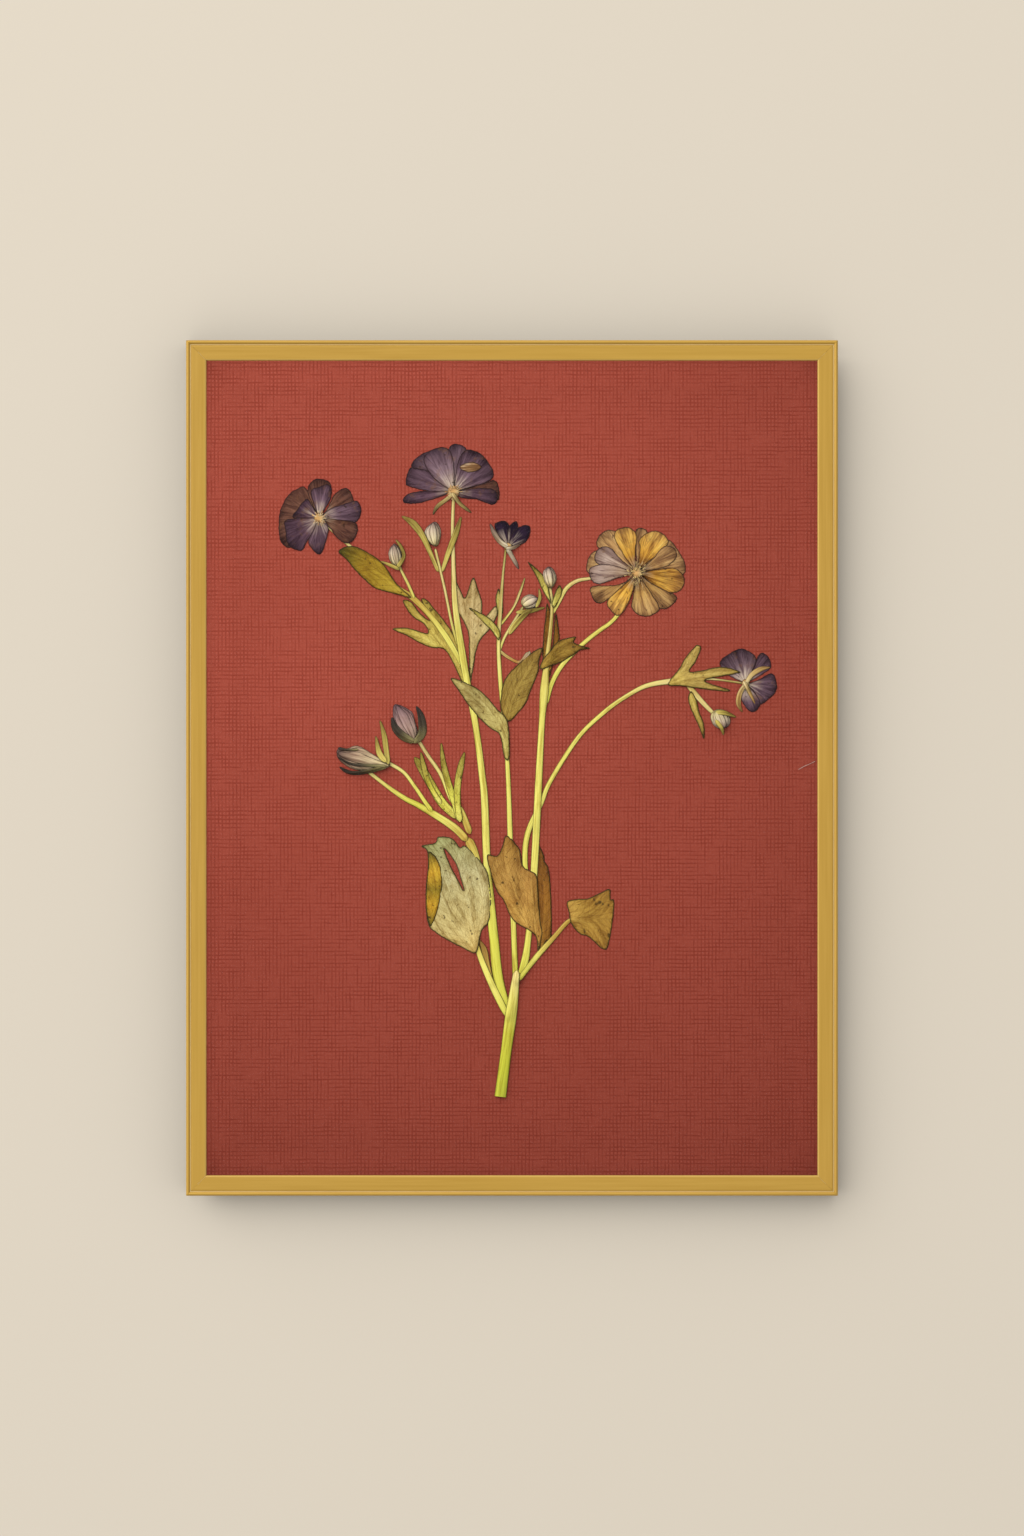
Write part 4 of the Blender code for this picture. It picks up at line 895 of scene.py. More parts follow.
# %% [markdown]
# A leaf is cut from its outline. Ribs are drawn from its stalk to each tip, and every point knows its
# nearest rib, which gives the grain. The blade rises a little at the ribs, waves gently, and curls up at
# its edge. Buds are laid the same way with a dome, because they stay plump.

# %% Lay a leaf or a bud
BLADE_STEP = 0.75
EDGE_STEP = 0.55
RIB_WIDTH = 0.36
RIB_HEIGHT = 0.16
BLADE_WAVES = 0.12


def even_loop(outline):
    """An outline in pixels as an anticlockwise loop of even steps on the card."""
    return anticlockwise(evenly(smooth(on_card(outline), closed=True), EDGE_STEP, closed=True))


def lay_leaf(node, outline, ribs, colours, finish="leaf", thickness=0.28, dome=0.0, curl=0.25, torn=0.14,
             holes=(), seed=1):
    rng = np.random.default_rng(seed)
    loop = ragged(even_loop(outline), torn, rng)
    gaps = [even_loop(hole) for hole in holes]
    flat, faces = filled(loop, BLADE_STEP, rng, gaps)
    rim = np.min([rim_distance(flat, edge) for edge in (loop, *gaps)], axis=0)
    found = [nearest_on(flat, evenly(smooth(on_card(rib)), 1.0)) for rib in ribs]
    away = np.array([distance for distance, along, side in found])
    nearest = away.argmin(0)
    pick = np.arange(len(flat))
    across = away[nearest, pick] * np.array([side for _, _, side in found])[nearest, pick]
    along = np.array([place_along for _, place_along, _ in found])[nearest, pick]
    rib = np.exp(-(across / RIB_WIDTH) ** 2)
    height = settle(loop, thickness + dome * 0.7, gaps)
    full = thickness * np.clip(0.35 + rim / 0.7, 0, 1)
    if dome:
        full += dome * np.sqrt(np.clip(1 - (1 - rim / rim.max()) ** 2, 0, 1))
    lift = BLADE_WAVES * (1 + ripple(flat, 9, rng)) * np.clip(rim / 2, 0, 1)
    lift += curl * np.clip(ripple(flat, 14, rng), 0, 1) * np.exp(-rim / 1.2)
    base = height(flat) + CARD_CLEARANCE + lift
    top = base + full + RIB_HEIGHT * rib * np.clip(rim, 0, 1)
    tint = shades(along / max(along.max(), 1e-6), colours)
    grain = np.stack([across, along, nearest * 5.0 + seed * 3.0], axis=1)
    collect(node, finish, flat, base, top, faces, tint, grain, rim, rib)


print("leaves can be laid")

# %% [markdown]
# A petal runs out from the flower's centre. It is thin as paper, and fine ridges fan out along it from
# the base, so its grain is the angle about the centre and the distance from it.

# %% Lay a petal
PETAL_THICKNESS = 0.17
PETAL_STEP = 0.7
PETAL_RIDGE = 0.09
PETAL_CURL = 0.22
PETAL_TORN = 0.2


def lay_petal(node, centre, edge, colours, seed):
    rng = np.random.default_rng(seed)
    outline = smooth([centre, *edge, centre])
    loop = anticlockwise(evenly(on_card(outline), EDGE_STEP)[:-1])
    loop = ragged(loop, PETAL_TORN, rng)
    flat, faces = filled(loop, PETAL_STEP, rng)
    rim = rim_distance(flat, loop)
    middle = on_card([centre])[0]
    axis = loop.mean(0) - middle
    axis /= np.linalg.norm(axis)
    offset = flat - middle
    radius = np.linalg.norm(offset, axis=1)
    angle = np.arctan2(axis[0] * offset[:, 1] - axis[1] * offset[:, 0], offset @ axis)
    height = settle(loop, PETAL_THICKNESS + 0.02)
    folds = 0.5 + 0.5 * np.sin(angle * 26 + 1.5 * ripple(flat, 8, rng) + rng.uniform(0, 6))
    lift = PETAL_RIDGE * folds * np.clip(radius / 6, 0, 1)
    lift += PETAL_CURL * np.clip(ripple(flat, 9, rng), 0, 1) * np.exp(-rim / 1.5) * np.clip(radius / 8, 0, 1)
    base = height(flat) + CARD_CLEARANCE + lift
    top = base + PETAL_THICKNESS * np.clip(0.4 + rim / 0.6, 0, 1)
    tint = shades(radius / radius.max(), colours) * rng.uniform(0.9, 1.1)
    grain = np.stack([angle * 10, radius, np.full(len(flat), seed * 3.7)], axis=1)
    collect(node, "petal", flat, base, top, faces, tint, grain, rim, np.zeros(len(flat)))


print("petals can be laid")

# %% [markdown]
# The stalks were measured on the picture from the root end outwards: place and width, point by point.
# Those that lie deepest go down first, then the tall stems, and the cut base on top of them all.

# %% Stalks, as (x, y, width) in pixels of the photograph
MAIN_STEM = [(500.3, 1097.5, 12), (506.3, 1051, 11), (510.7, 1018, 12), (513.7, 996, 10), (515.5, 981, 8)]
LEFT_STEM = [
    (510, 1014, 5), (498.5, 980, 10), (494, 940, 9.6), (490, 900, 9), (487, 865, 8), (484.5, 800, 7.5),
    (482, 775, 7), (477, 735, 6.6), (472.3, 707, 7), (467.4, 684, 7), (461.5, 650, 7.5), (455, 605, 6),
    (453.2, 560, 4.4), (452.4, 525, 3.6), (453.5, 496, 3.4),
]
LEFT_STEM_BUD_STALK = [(457.5, 645, 3), (451.4, 622, 3), (445.3, 592, 3), (440, 569, 3), (435, 548, 3)]
MIDDLE_STEM = [
    (515.5, 979, 6), (513.4, 924, 5.6), (510.4, 845, 5.6), (508.6, 790, 5), (506, 740, 4.6),
    (501, 690, 4.5), (498.5, 645, 4.2), (500.5, 608, 4), (503.1, 573, 2.6), (506, 547, 2.4),
]
MIDDLE_BUD_STALK = [(499, 652, 3), (504.2, 637.7, 3), (514, 621, 3), (523.5, 606, 3)]
MIDDLE_SHORT_STALK = [(499, 650, 3.4), (508, 657, 3.4), (519.6, 662, 3.4), (527.5, 655, 6), (530, 651, 3)]
MIDDLE_TENDRIL = [(500, 625, 3), (513, 608, 2.6), (520, 592, 3), (525, 577, 1.6)]
RIGHT_STEM = [
    (518, 981, 5), (524.4, 964, 8), (528.7, 935, 6.4), (534.1, 873, 7.4), (538.7, 783, 7.4),
    (542, 722, 6.4), (544.5, 690, 9), (546.5, 665, 6), (550.5, 630, 4), (552, 606, 3.6),
    (549.6, 584, 3.4),
]
YELLOW_FLOWER_STALK = [
    (546, 704, 5), (552, 683, 5), (563.2, 663.7, 5), (583.7, 643, 4.6), (600, 630, 4.4), (611, 622, 4.2),
    (620, 611, 4.2), (636, 580, 4),
]
UPPER_SIDE_STALK = [
    (552, 614, 4), (559, 601, 4.6), (566.5, 588, 4.4), (577, 580.5, 4), (590, 578, 3.4), (620, 574, 3),
]
ARCHING_STEM = [
    (531, 905, 5), (525.2, 866, 5.6), (527.7, 834, 6), (541.4, 803, 5), (550.6, 781, 4.8),
    (578, 738, 4.6), (605.7, 711, 4.6), (630, 694, 4.4), (648.6, 685, 5), (672, 681, 6),
    (692, 679, 6), (714, 679, 2.4), (744, 683, 2.4),
]
LOW_LEFT_STEM = [(489, 900, 6), (480, 872, 7), (473, 850, 9), (467, 838, 9)]
OUTER_BUD_STALK = [
    (467, 841, 8), (452.8, 826.7, 8), (420.9, 806.8, 6.4), (405, 798.8, 5.4), (385, 785, 4.2),
    (366, 770, 4),
]
OUTER_BUD_FORK = [(432, 812, 5), (424.9, 802, 4.4), (414.6, 786.8, 4), (403, 772, 4), (386, 762, 4)]
INNER_BUD_STALK = [
    (470, 834, 7), (460.8, 811, 6.4), (450.5, 798, 5), (440.9, 775, 4.4), (428, 756, 4),
    (416.2, 737, 4), (409, 722, 4),
]
LEFT_FLOWER_STALK = [
    (464, 668, 5), (450, 643, 6), (437, 624, 6), (424.9, 609.6, 6), (410.6, 596, 6), (397, 587, 5),
    (375, 568, 3.6), (355.4, 550.4, 3.4), (347.5, 543.8, 3.4), (329.7, 528, 3), (319, 518, 3),
]
UPPER_LEFT_BUD_STALK = [(414, 598, 3.4), (408, 584, 3.2), (400.4, 568.8, 3), (396, 557, 3)]
HANGING_BUD_STALK = [(684, 679, 4), (694, 691.8, 5.6), (704.6, 703.8, 5), (714, 713, 4), (721, 717.5, 3)]
LIME = (228, 222, 84)
STRAW = (242, 230, 112)
PALE = (236, 214, 136)
GREEN = (206, 206, 58)
OCHRE = (208, 172, 76)
print("the left stem has", len(LEFT_STEM), "measured points")

# %% [markdown]
# The leaves were read the same way, as closed outlines. Several are torn or folded, and those shapes
# stay.

# %% Leaves, as closed outlines in pixels of the photograph
LARGE_PALE_LEAF = [
    (475.8, 953), (461, 947.6), (448, 941), (435, 932.8), (428.7, 926.3), (425.6, 910), (425.9, 884.7),
    (427.7, 868), (426.8, 851.4), (421.3, 845.9), (435, 843), (437.9, 837), (449.6, 837.6), (455.5, 842),
    (460, 847.7), (464.7, 845.9), (474, 854), (483, 865), (487.8, 873.6), (490.3, 890), (491, 903),
    (488.8, 921.7), (481.4, 931.9),
]
PALE_LEAF_TEAR = [(444, 849), (455.5, 864), (461, 881), (463.6, 891), (455.5, 875.5), (450.9, 867)]
PALE_LEAF_STALK = [(474, 938, 5), (481.4, 960.6, 6), (492.5, 986.5, 7), (503, 1008, 7), (508, 1018, 4)]
PALE_LEAF_SPUR = [(492, 984, 4), (487, 965, 6), (484, 950, 6), (478.6, 940, 2)]
LARGE_BROWN_LEAF = [
    (505.4, 836.3), (511, 838.5), (516.5, 845), (520.2, 851.4), (523, 866.2), (532.2, 871.8), (537, 877),
    (538.7, 899.5), (540.6, 921.7), (542.4, 934.7), (537.8, 951.3), (535, 935.6), (516.5, 923.6),
    (510, 916), (503.6, 901.4), (496, 890.3), (490.6, 873.6), (487, 855.5), (497, 856), (501.7, 847.7),
]
BROWN_LEAF_FOLD = [
    (538.5, 846), (543.9, 855), (545, 862), (548.9, 870), (551.3, 897.7), (551.5, 936.5), (546, 942),
    (540.6, 951.3), (538, 925), (536, 895), (537, 865),
]
SMALL_BROWN_LEAF = [
    (567, 902.3), (577.5, 899.5), (588.6, 898.6), (598.8, 894), (609.9, 889.4), (610.8, 899.5),
    (614.5, 901), (612.7, 923.6), (608, 947.6), (601.6, 949), (592.3, 940.2), (586.8, 936.5),
    (579.4, 934), (571, 923.6), (569, 912.5),
]
SMALL_BROWN_LEAF_STALK = [
    (575, 918, 3), (567, 923, 4.6), (553.5, 938.4, 5), (536.9, 957, 6), (518.4, 981, 4.6),
]
OLIVE_LEAF = [
    (338, 551), (347.9, 545.5), (360, 547.9), (379.5, 559.8), (388.2, 570.7), (396.8, 583.7), (411, 597),
    (396.8, 594), (375.2, 588), (364.3, 579.4), (353.5, 568.5), (347, 560),
]
THREE_LOBED_LEAF = [
    (463, 684), (446.3, 651.4), (431, 647.3), (420.8, 643.3), (405.5, 635), (391.7, 628.5), (408, 627.6),
    (426.9, 633), (424, 624), (411.6, 615.7), (402.4, 600.4), (411, 601.5), (421, 614), (430, 619),
    (420.8, 599.9), (426.5, 599.4), (435.1, 609.6), (445.3, 621.8), (456, 640), (468, 681),
]
TAN_LEAF = [
    (469.8, 684), (468.8, 652), (467.8, 632), (461, 617), (456.5, 609.6), (456, 592), (453.5, 575.9),
    (460.6, 590), (465, 597), (472.9, 576.9), (478, 589), (482, 601.4), (483, 618), (495.3, 605.5),
    (497.3, 614.7), (490.2, 628), (480, 640.2), (475.9, 652), (473.9, 664),
]
GREY_GREEN_LEAF = [
    (450.6, 677.8), (469, 683.9), (483.3, 693), (497.6, 709.4), (507.8, 721.6), (509.4, 757),
    (504.2, 757.3), (499.6, 735), (489.4, 727.8), (477, 715.5), (467, 703.3), (458.8, 691),
]
UPRIGHT_BROWN_LEAF = [
    (542.1, 647.5), (530.2, 653.2), (518.9, 663), (507, 675.6), (502.8, 684.7), (501, 695), (500.6, 709),
    (506.7, 720), (510.8, 720.6), (515.9, 715.5), (526, 703), (531, 689.8), (537.9, 672.8),
    (539.3, 660.2),
]
LYING_BROWN_LEAF = [
    (540, 669), (543, 659), (549, 651.8), (558.9, 640.6), (575.8, 636.3), (574.5, 642.5),
    (590.5, 648.2), (580.7, 649.6), (573.7, 654.6), (563.2, 660.9), (553.3, 665.1),
]
NARROW_DARK_LEAVES = [
    [
        (547, 602.6), (551, 614), (551, 627), (547.5, 651), (551, 672), (545, 680), (542.5, 655),
        (543.5, 635), (545.6, 615),
    ],
    [(556, 611.8), (559.3, 632), (558.9, 641), (552, 668), (547, 672), (552.5, 645), (554, 628)],
]
NARROW_YELLOW_LEAVES = [
    [(527.7, 561.2), (539.6, 571), (546.6, 580.2), (551, 603), (543.1, 590.7), (535.5, 574.6)],
    [(558.6, 585), (562.4, 592), (556, 606), (551.5, 604)],
]
END_LEAF = [
    (668, 684), (679, 669), (686, 657), (693.3, 648.3), (697.5, 644.8), (701.7, 647.6), (696, 661.7),
    (690, 671), (700, 670.6), (722, 666.6), (741, 671.5), (732.6, 674.3), (705.3, 680.4), (729, 689),
    (727.7, 691.4), (713, 690), (694, 687.6), (680, 685.8),
]
HANGING_LEAFLET = [
    (692, 691), (697, 700), (700, 712), (704.6, 725), (704.4, 739), (698.2, 724), (691.2, 708.7),
    (688.6, 697),
]
LOW_LEFT_LEAF_LOBES = [
    [(458, 818, 6), (442, 803, 7), (430, 783, 7), (419, 764, 6), (414, 757, 2)],
    [(441, 804, 4), (429, 784, 4), (423.6, 767, 4.4), (420.6, 752, 1.6)],
    [(460, 822, 6), (456, 806, 6), (449, 786, 5.4), (443.4, 764, 4.6), (441, 743, 1.6)],
    [(460, 822, 5), (457.4, 804, 5), (457.6, 784, 5.4), (461, 765, 5), (464.6, 752, 1.6)],
]
PALE_LEAF_TURNED_EDGE = [
    (428, 852), (435, 856), (440.5, 868), (442, 884), (440, 900), (436.5, 914), (430.5, 927), (426.5, 915),
    (425.4, 897), (426.4, 880), (428, 866),
]
MIDDLE_LEAFLET = [
    (498.5, 640), (491, 630), (481, 620.5), (468.6, 607.4), (481, 612.6), (492, 620), (500, 631),
]
FLOWER_SIDE_LEAFLET = [(499.5, 618), (496, 604), (495.6, 597), (498.6, 588), (502.4, 599), (503, 612)]
MAIN_STEM_FORK = (516.8, 971, 6.5)
RIB_PATHS = {
    "large_pale_leaf": [
        [(476, 952), (468, 905), (455, 862), (440, 840)], [(476, 952), (450, 915), (432, 870)],
        [(476, 952), (484, 905), (473, 858)],
    ],
    "pale_leaf_turned_edge": [[(429, 926), (438, 890), (430, 854)]],
    "large_brown_leaf": [
        [(538, 952), (520, 905), (506, 865), (505, 838)], [(538, 952), (534, 915), (531, 873)],
        [(530, 930), (505, 895), (488, 858)],
    ],
    "brown_leaf_fold": [[(541, 951), (545, 900), (541, 847)]],
    "small_brown_leaf": [[(570, 919), (592, 912), (610, 892)], [(570, 919), (592, 926), (605, 948)]],
    "olive_leaf": [[(411, 597), (385, 574), (362, 559), (339, 551)]],
    "three_lobed_leaf": [[(465, 684), (447, 640), (424, 601)], [(455, 664), (425, 622), (404, 602)],
                         [(452, 656), (425, 639), (393, 629)]],
    "tan_leaf": [[(471, 684), (473, 640), (473, 578)], [(470, 670), (463, 618), (455, 578)],
                 [(473, 662), (482, 638), (496, 607)]],
    "grey_green_leaf": [[(507, 757), (499, 726), (480, 701), (451, 678)]],
    "upright_brown_leaf": [[(507, 721), (517, 690), (541, 649)]],
    "lying_brown_leaf": [[(541, 668), (560, 653), (589, 648)], [(541, 668), (557, 648), (575, 637)]],
    "left_dark_leaf": [[(548, 680), (548, 640), (547, 603)]],
    "right_dark_leaf": [[(549, 671), (556, 640), (556, 612)]],
    "end_leaf": [[(668, 684), (685, 667), (698, 646)], [(668, 684), (700, 676), (740, 671.5)],
                 [(668, 684), (705, 686), (728, 690)]],
    "hanging_leaflet": [[(691, 692), (698, 715), (704, 738)]],
    "middle_leaflet": [[(499, 639), (485, 619), (469, 608)]],
    "flower_side_leaflet": [[(501, 618), (499, 589)]],
}
print("leaves with ribs:", len(RIB_PATHS))

# %% Lay the stalks and leaves that lie deepest
lay_stalk("arching_stem", ARCHING_STEM, [LIME, STRAW, STRAW, STRAW, PALE, (214, 192, 120)])
lay_stalk("low_left_stem", LOW_LEFT_STEM, [LIME, STRAW, OCHRE])
lay_stalk("outer_bud_stalk", OUTER_BUD_STALK, [OCHRE, STRAW, LIME, STRAW, PALE])
lay_stalk("outer_bud_stalk", OUTER_BUD_FORK, [LIME, STRAW, PALE])
lay_stalk("inner_bud_stalk", INNER_BUD_STALK, [OCHRE, STRAW, PALE, (196, 176, 120)])
lay_stalk("yellow_flower_stalk", YELLOW_FLOWER_STALK, [LIME, STRAW, STRAW, STRAW, PALE])
lay_stalk("upper_side_stalk", UPPER_SIDE_STALK, [STRAW, PALE, (206, 188, 112)])
lay_leaf("brown_leaf_fold", BROWN_LEAF_FOLD, RIB_PATHS["brown_leaf_fold"],
         [(168, 118, 44), (150, 98, 34), (128, 82, 30)], seed=11)
lay_leaf("tan_leaf", TAN_LEAF, RIB_PATHS["tan_leaf"],
         [(220, 198, 116), (216, 190, 124), (210, 182, 122), (190, 162, 104)], seed=12)
lay_leaf("three_lobed_leaf", THREE_LOBED_LEAF, RIB_PATHS["three_lobed_leaf"],
         [(222, 200, 92), (210, 184, 86), (198, 172, 78), (176, 152, 62)], seed=13)
for number, (outline, rib) in enumerate(zip(NARROW_DARK_LEAVES, ("left_dark_leaf", "right_dark_leaf"))):
    lay_leaf("narrow_dark_leaves", outline, RIB_PATHS[rib], [(170, 124, 46), (140, 94, 26), (126, 80, 22)],
             seed=14 + number)
print("laid so far:", sorted(solids))

# %% Lay the tall stems and the cut base
lay_stalk("left_stem", LEFT_STEM_BUD_STALK, [STRAW, PALE, PALE])
lay_stalk("left_flower_stalk", LEFT_FLOWER_STALK, [STRAW, STRAW, OCHRE, OCHRE, PALE, PALE])
lay_stalk("left_stem", LEFT_STEM, [LIME, LIME, STRAW, STRAW, STRAW, STRAW, PALE, PALE])
lay_leaf("middle_stem", FLOWER_SIDE_LEAFLET, RIB_PATHS["flower_side_leaflet"],
         [STRAW, (170, 150, 80)], seed=16)
for stalk in (MIDDLE_BUD_STALK, MIDDLE_TENDRIL):
    lay_stalk("middle_stem", stalk, [STRAW, PALE, (190, 170, 96)])
lay_stalk("middle_stem", MIDDLE_SHORT_STALK, [PALE, (196, 140, 66), (190, 176, 150)])
lay_stalk("middle_stem", MIDDLE_STEM, [LIME, STRAW, STRAW, STRAW, STRAW, PALE, (196, 182, 104)])
lay_leaf("middle_stem", MIDDLE_LEAFLET, RIB_PATHS["middle_leaflet"],
         [STRAW, (194, 178, 86), (168, 152, 74)], seed=17)
lay_stalk("right_stem", RIGHT_STEM, [LIME, STRAW, STRAW, STRAW, STRAW, (214, 190, 100), PALE])
lay_stalk("upper_left_bud_stalk", UPPER_LEFT_BUD_STALK, [STRAW, PALE])
lay_stalk("hanging_bud_stalk", HANGING_BUD_STALK, [OCHRE, PALE, PALE])
lay_stalk("large_pale_leaf", PALE_LEAF_SPUR, [OCHRE, (150, 110, 50)], thickness=0.5)
lay_stalk("large_pale_leaf", PALE_LEAF_STALK, [OCHRE, STRAW, STRAW, LIME])
lay_stalk("small_brown_leaf", SMALL_BROWN_LEAF_STALK, [OCHRE, OCHRE, STRAW, LIME])
lay_stalk("main_stem", MAIN_STEM + [MAIN_STEM_FORK], [(196, 198, 60), GREEN, (210, 204, 66), STRAW, PALE],
          thickness=1.5, soft_ends=(0, 3))
print("stems are laid; the pile is", round(float(pile.max()), 2), "mm high")

# %% Lay the leaves in front
LEAF_COLOURS = {
    "large_pale_leaf": [(214, 178, 100), (220, 198, 128), (206, 194, 136), (164, 164, 104)],
    "large_brown_leaf": [(202, 150, 70), (198, 148, 70), (188, 140, 68), (156, 112, 46)],
    "small_brown_leaf": [(206, 162, 76), (188, 146, 62), (180, 136, 56), (156, 114, 46)],
    "grey_green_leaf": [(212, 196, 104), (206, 188, 110), (200, 182, 112), (180, 162, 94)],
    "upright_brown_leaf": [(180, 148, 66), (176, 146, 68), (166, 136, 62), (148, 114, 50)],
    "lying_brown_leaf": [(170, 136, 54), (158, 124, 48), (146, 110, 42)],
    "olive_leaf": [(206, 178, 68), (184, 152, 46), (164, 130, 34), (84, 82, 24)],
    "end_leaf": [(212, 184, 88), (204, 174, 92), (190, 160, 82), (164, 136, 62)],
    "hanging_leaflet": [(206, 178, 86), (186, 158, 74), (166, 136, 66)],
}
FRONT_LEAVES = {
    "large_pale_leaf": LARGE_PALE_LEAF,
    "small_brown_leaf": SMALL_BROWN_LEAF,
    "large_brown_leaf": LARGE_BROWN_LEAF,
    "grey_green_leaf": GREY_GREEN_LEAF,
    "upright_brown_leaf": UPRIGHT_BROWN_LEAF,
    "lying_brown_leaf": LYING_BROWN_LEAF,
    "olive_leaf": OLIVE_LEAF,
    "hanging_leaflet": HANGING_LEAFLET,
}
for number, (node, outline) in enumerate(FRONT_LEAVES.items()):
    holes = [PALE_LEAF_TEAR] if node == "large_pale_leaf" else []
    lay_leaf(node, outline, RIB_PATHS[node], LEAF_COLOURS[node], holes=holes, seed=20 + number)
lay_leaf("large_pale_leaf", PALE_LEAF_TURNED_EDGE, RIB_PATHS["pale_leaf_turned_edge"],
         [(96, 92, 30), (222, 172, 48), (150, 126, 36), (226, 176, 52), (104, 96, 32)], seed=30)
for lobe in LOW_LEFT_LEAF_LOBES:
    wider = [(x, y, width * 1.3) for x, y, width in lobe]
    lay_stalk("low_left_leaf", wider, [STRAW, LIME, (200, 186, 84), (146, 128, 50)], "leaf", thickness=0.4)
print("leaves are laid; the pile is", round(float(pile.max()), 2), "mm high")

# %% [markdown]
# The petals were read from the picture too, from the back of each flower to its front. Pressed petals keep a
# few dull shades each: violet, brown or amber, paler or darker towards the base. So a petal names its shade,
# and the finish later adds veins, blotches and the dark rim. That rim is partly the dried edge and partly
# painted shadow along the edge.

# %% Flowers, in pixels of the photograph: centre, radius of the knob, and each petal's edge
LEFT_FLOWER_CENTRE = (318.5, 517.5)
LEFT_FLOWER_KNOB = 5
LEFT_FLOWER = [
    [(305.7, 487.8), (294.9, 489), (287.4, 494.9), (282.4, 503), (278.4, 516), (278.7, 536),
     (282.4, 544), (291, 547), (300, 535)],
    [(308, 495), (308.6, 484), (316.4, 478), (330, 482.4), (328, 497)],
    [(310.2, 491.6), (319, 486), (328, 483.7), (331.4, 489), (328.9, 500.7)],
    [(308, 499), (301.5, 502.3), (296.5, 509), (292, 516.4), (303, 522)],
    [(325.6, 509.8), (334.7, 493), (346.3, 487.4), (352.9, 497.4), (352, 505), (340, 513)],
    [(330, 508), (345, 503), (357, 500.3), (360.8, 511.5), (355, 522), (340, 523)],
    [(340, 519), (356.2, 523), (355.4, 536), (347, 543), (336.3, 537), (328, 526)],
    [(301, 517), (284.9, 519.8), (284.5, 528), (287.8, 544.6), (300.7, 550), (307.3, 539.7), (314, 530)],
    [(311.5, 531.4), (307.7, 540), (311, 548), (318.9, 554.2), (323.9, 546), (328, 529.7), (325, 520)],
]
TOP_FLOWER_CENTRE = (453.7, 491)
TOP_FLOWER_KNOB = 6
TOP_FLOWER = [
    [(486, 482), (493.3, 479), (497.7, 483.4), (499.5, 493.7), (497, 500), (480, 495)],
    [(447, 459), (450.7, 444.5), (459.5, 443.8), (466, 448), (468, 462), (461, 480)],
    [(457, 464), (465, 449.6), (479.3, 452), (490, 464), (493.6, 474), (489, 480.5), (475.7, 485)],
    [(432, 491), (409.7, 486), (405.3, 482), (410, 467), (423, 465), (436, 477)],
    [(430, 472), (412, 467), (414, 459), (426.5, 451), (437, 452), (446, 468)],
    [(436, 480), (423.6, 462), (428, 451), (442, 446.4), (450.5, 451), (454, 468)],
    [(439, 490), (417, 490.7), (405.3, 495), (403.4, 502), (417, 502.6), (433, 498.5)],
    [(472.7, 487.8), (493.3, 488.5), (497.7, 498), (492.5, 504), (477, 499), (461, 497)],
]
TOP_FLOWER_SEPALS = [
    [(455, 492, 4), (446, 499, 4), (437, 506, 4), (432.8, 514, 1.6)],
    [(452, 492, 4), (459, 502, 4), (466, 508, 3.4), (471.3, 512, 1.6)],
]
SMALL_DARK_FLOWER_CENTRE = (508, 546)
SMALL_DARK_FLOWER_KNOB = 4
SMALL_DARK_FLOWER = [
    [(499, 536), (494.4, 524), (503, 520), (509, 524), (513, 535)],
    [(508, 528), (516.5, 520.5), (518, 530), (516, 541)],
    [(513, 531), (523.5, 524.7), (530.2, 526), (529.8, 534), (526, 541), (517, 546)],
]
SMALL_DARK_FLOWER_SEPALS = [
    [(509, 547, 5), (500, 541, 5), (494, 532, 5), (490, 523, 1.6)],
    [(507, 547, 5), (512, 556, 4.4), (516, 563, 4), (518.6, 568.6, 1.6)],
    [(506, 548, 3.4), (514, 547, 3.4), (521, 543, 1.6)],
]
YELLOW_FLOWER_CENTRE = (637.2, 572.4)
YELLOW_FLOWER_KNOB = 5.5
YELLOW_FLOWER = [
    [(600, 549), (599, 535.7), (610, 529.3), (625, 536), (634, 552)],
    [(611, 577), (590, 574), (586.8, 564), (592.5, 552), (606, 552)],
    [(659, 545), (669, 539), (679.4, 551), (685.8, 564.4), (683, 575), (664, 575)],
    [(636, 545), (637, 528.6), (647, 530), (649, 548)],
    [(619.6, 557), (612.5, 548.5), (605.3, 545.7), (597, 550), (595.3, 561), (610, 568)],
    [(610, 564), (591, 566.8), (590.6, 578), (599, 583.6), (619.6, 577)],
    [(626, 558), (615.5, 540), (616, 530), (629, 526.6), (637.2, 535), (635.6, 552)],
    [(640, 549), (639.6, 539), (650, 531), (661, 531.7), (669, 541), (660, 553), (648, 562)],
    [(651.5, 559.6), (664, 546), (674, 547), (677, 556), (666.7, 566)],
    [(662.7, 568), (677, 568.4), (685, 578), (681, 590), (668, 592), (652, 583)],
    [(656, 585), (677, 596), (670.7, 606), (660, 608), (649, 594)],
    [(619, 584), (592, 586), (592.5, 597), (599, 603), (611, 597)],
    [(621, 587), (609, 598), (608, 606), (618, 615.6), (627.6, 605), (634, 588)],
    [(633.4, 595), (632, 607), (638.8, 614.6), (650, 615.6), (660, 608), (650, 590)],
]
RIGHT_FLOWER_CENTRE = (746, 683)
RIGHT_FLOWER_KNOB = 4
RIGHT_FLOWER = [
    [(754, 668), (758, 656.7), (763.5, 652.5), (770, 658), (771, 668), (760, 676)],
    [(757, 680.6), (772, 673), (777.5, 683), (775.4, 693), (762, 704), (754, 700)],
    [(755, 691), (761, 704), (754.4, 712), (747, 708), (741, 696)],
    [(729, 675), (720, 663), (729, 654), (742, 648.3), (756, 656), (754, 668)],
]
RIGHT_FLOWER_SEPALS = [
    [(746, 684, 4), (752, 675, 5), (761, 669, 5), (771, 667, 1.6)],
    [(748, 682, 4), (741, 692, 5), (739, 703, 5), (743, 712, 1.6)],
    [(744, 681, 4), (750, 692, 4), (755.8, 704, 1.6)],
]
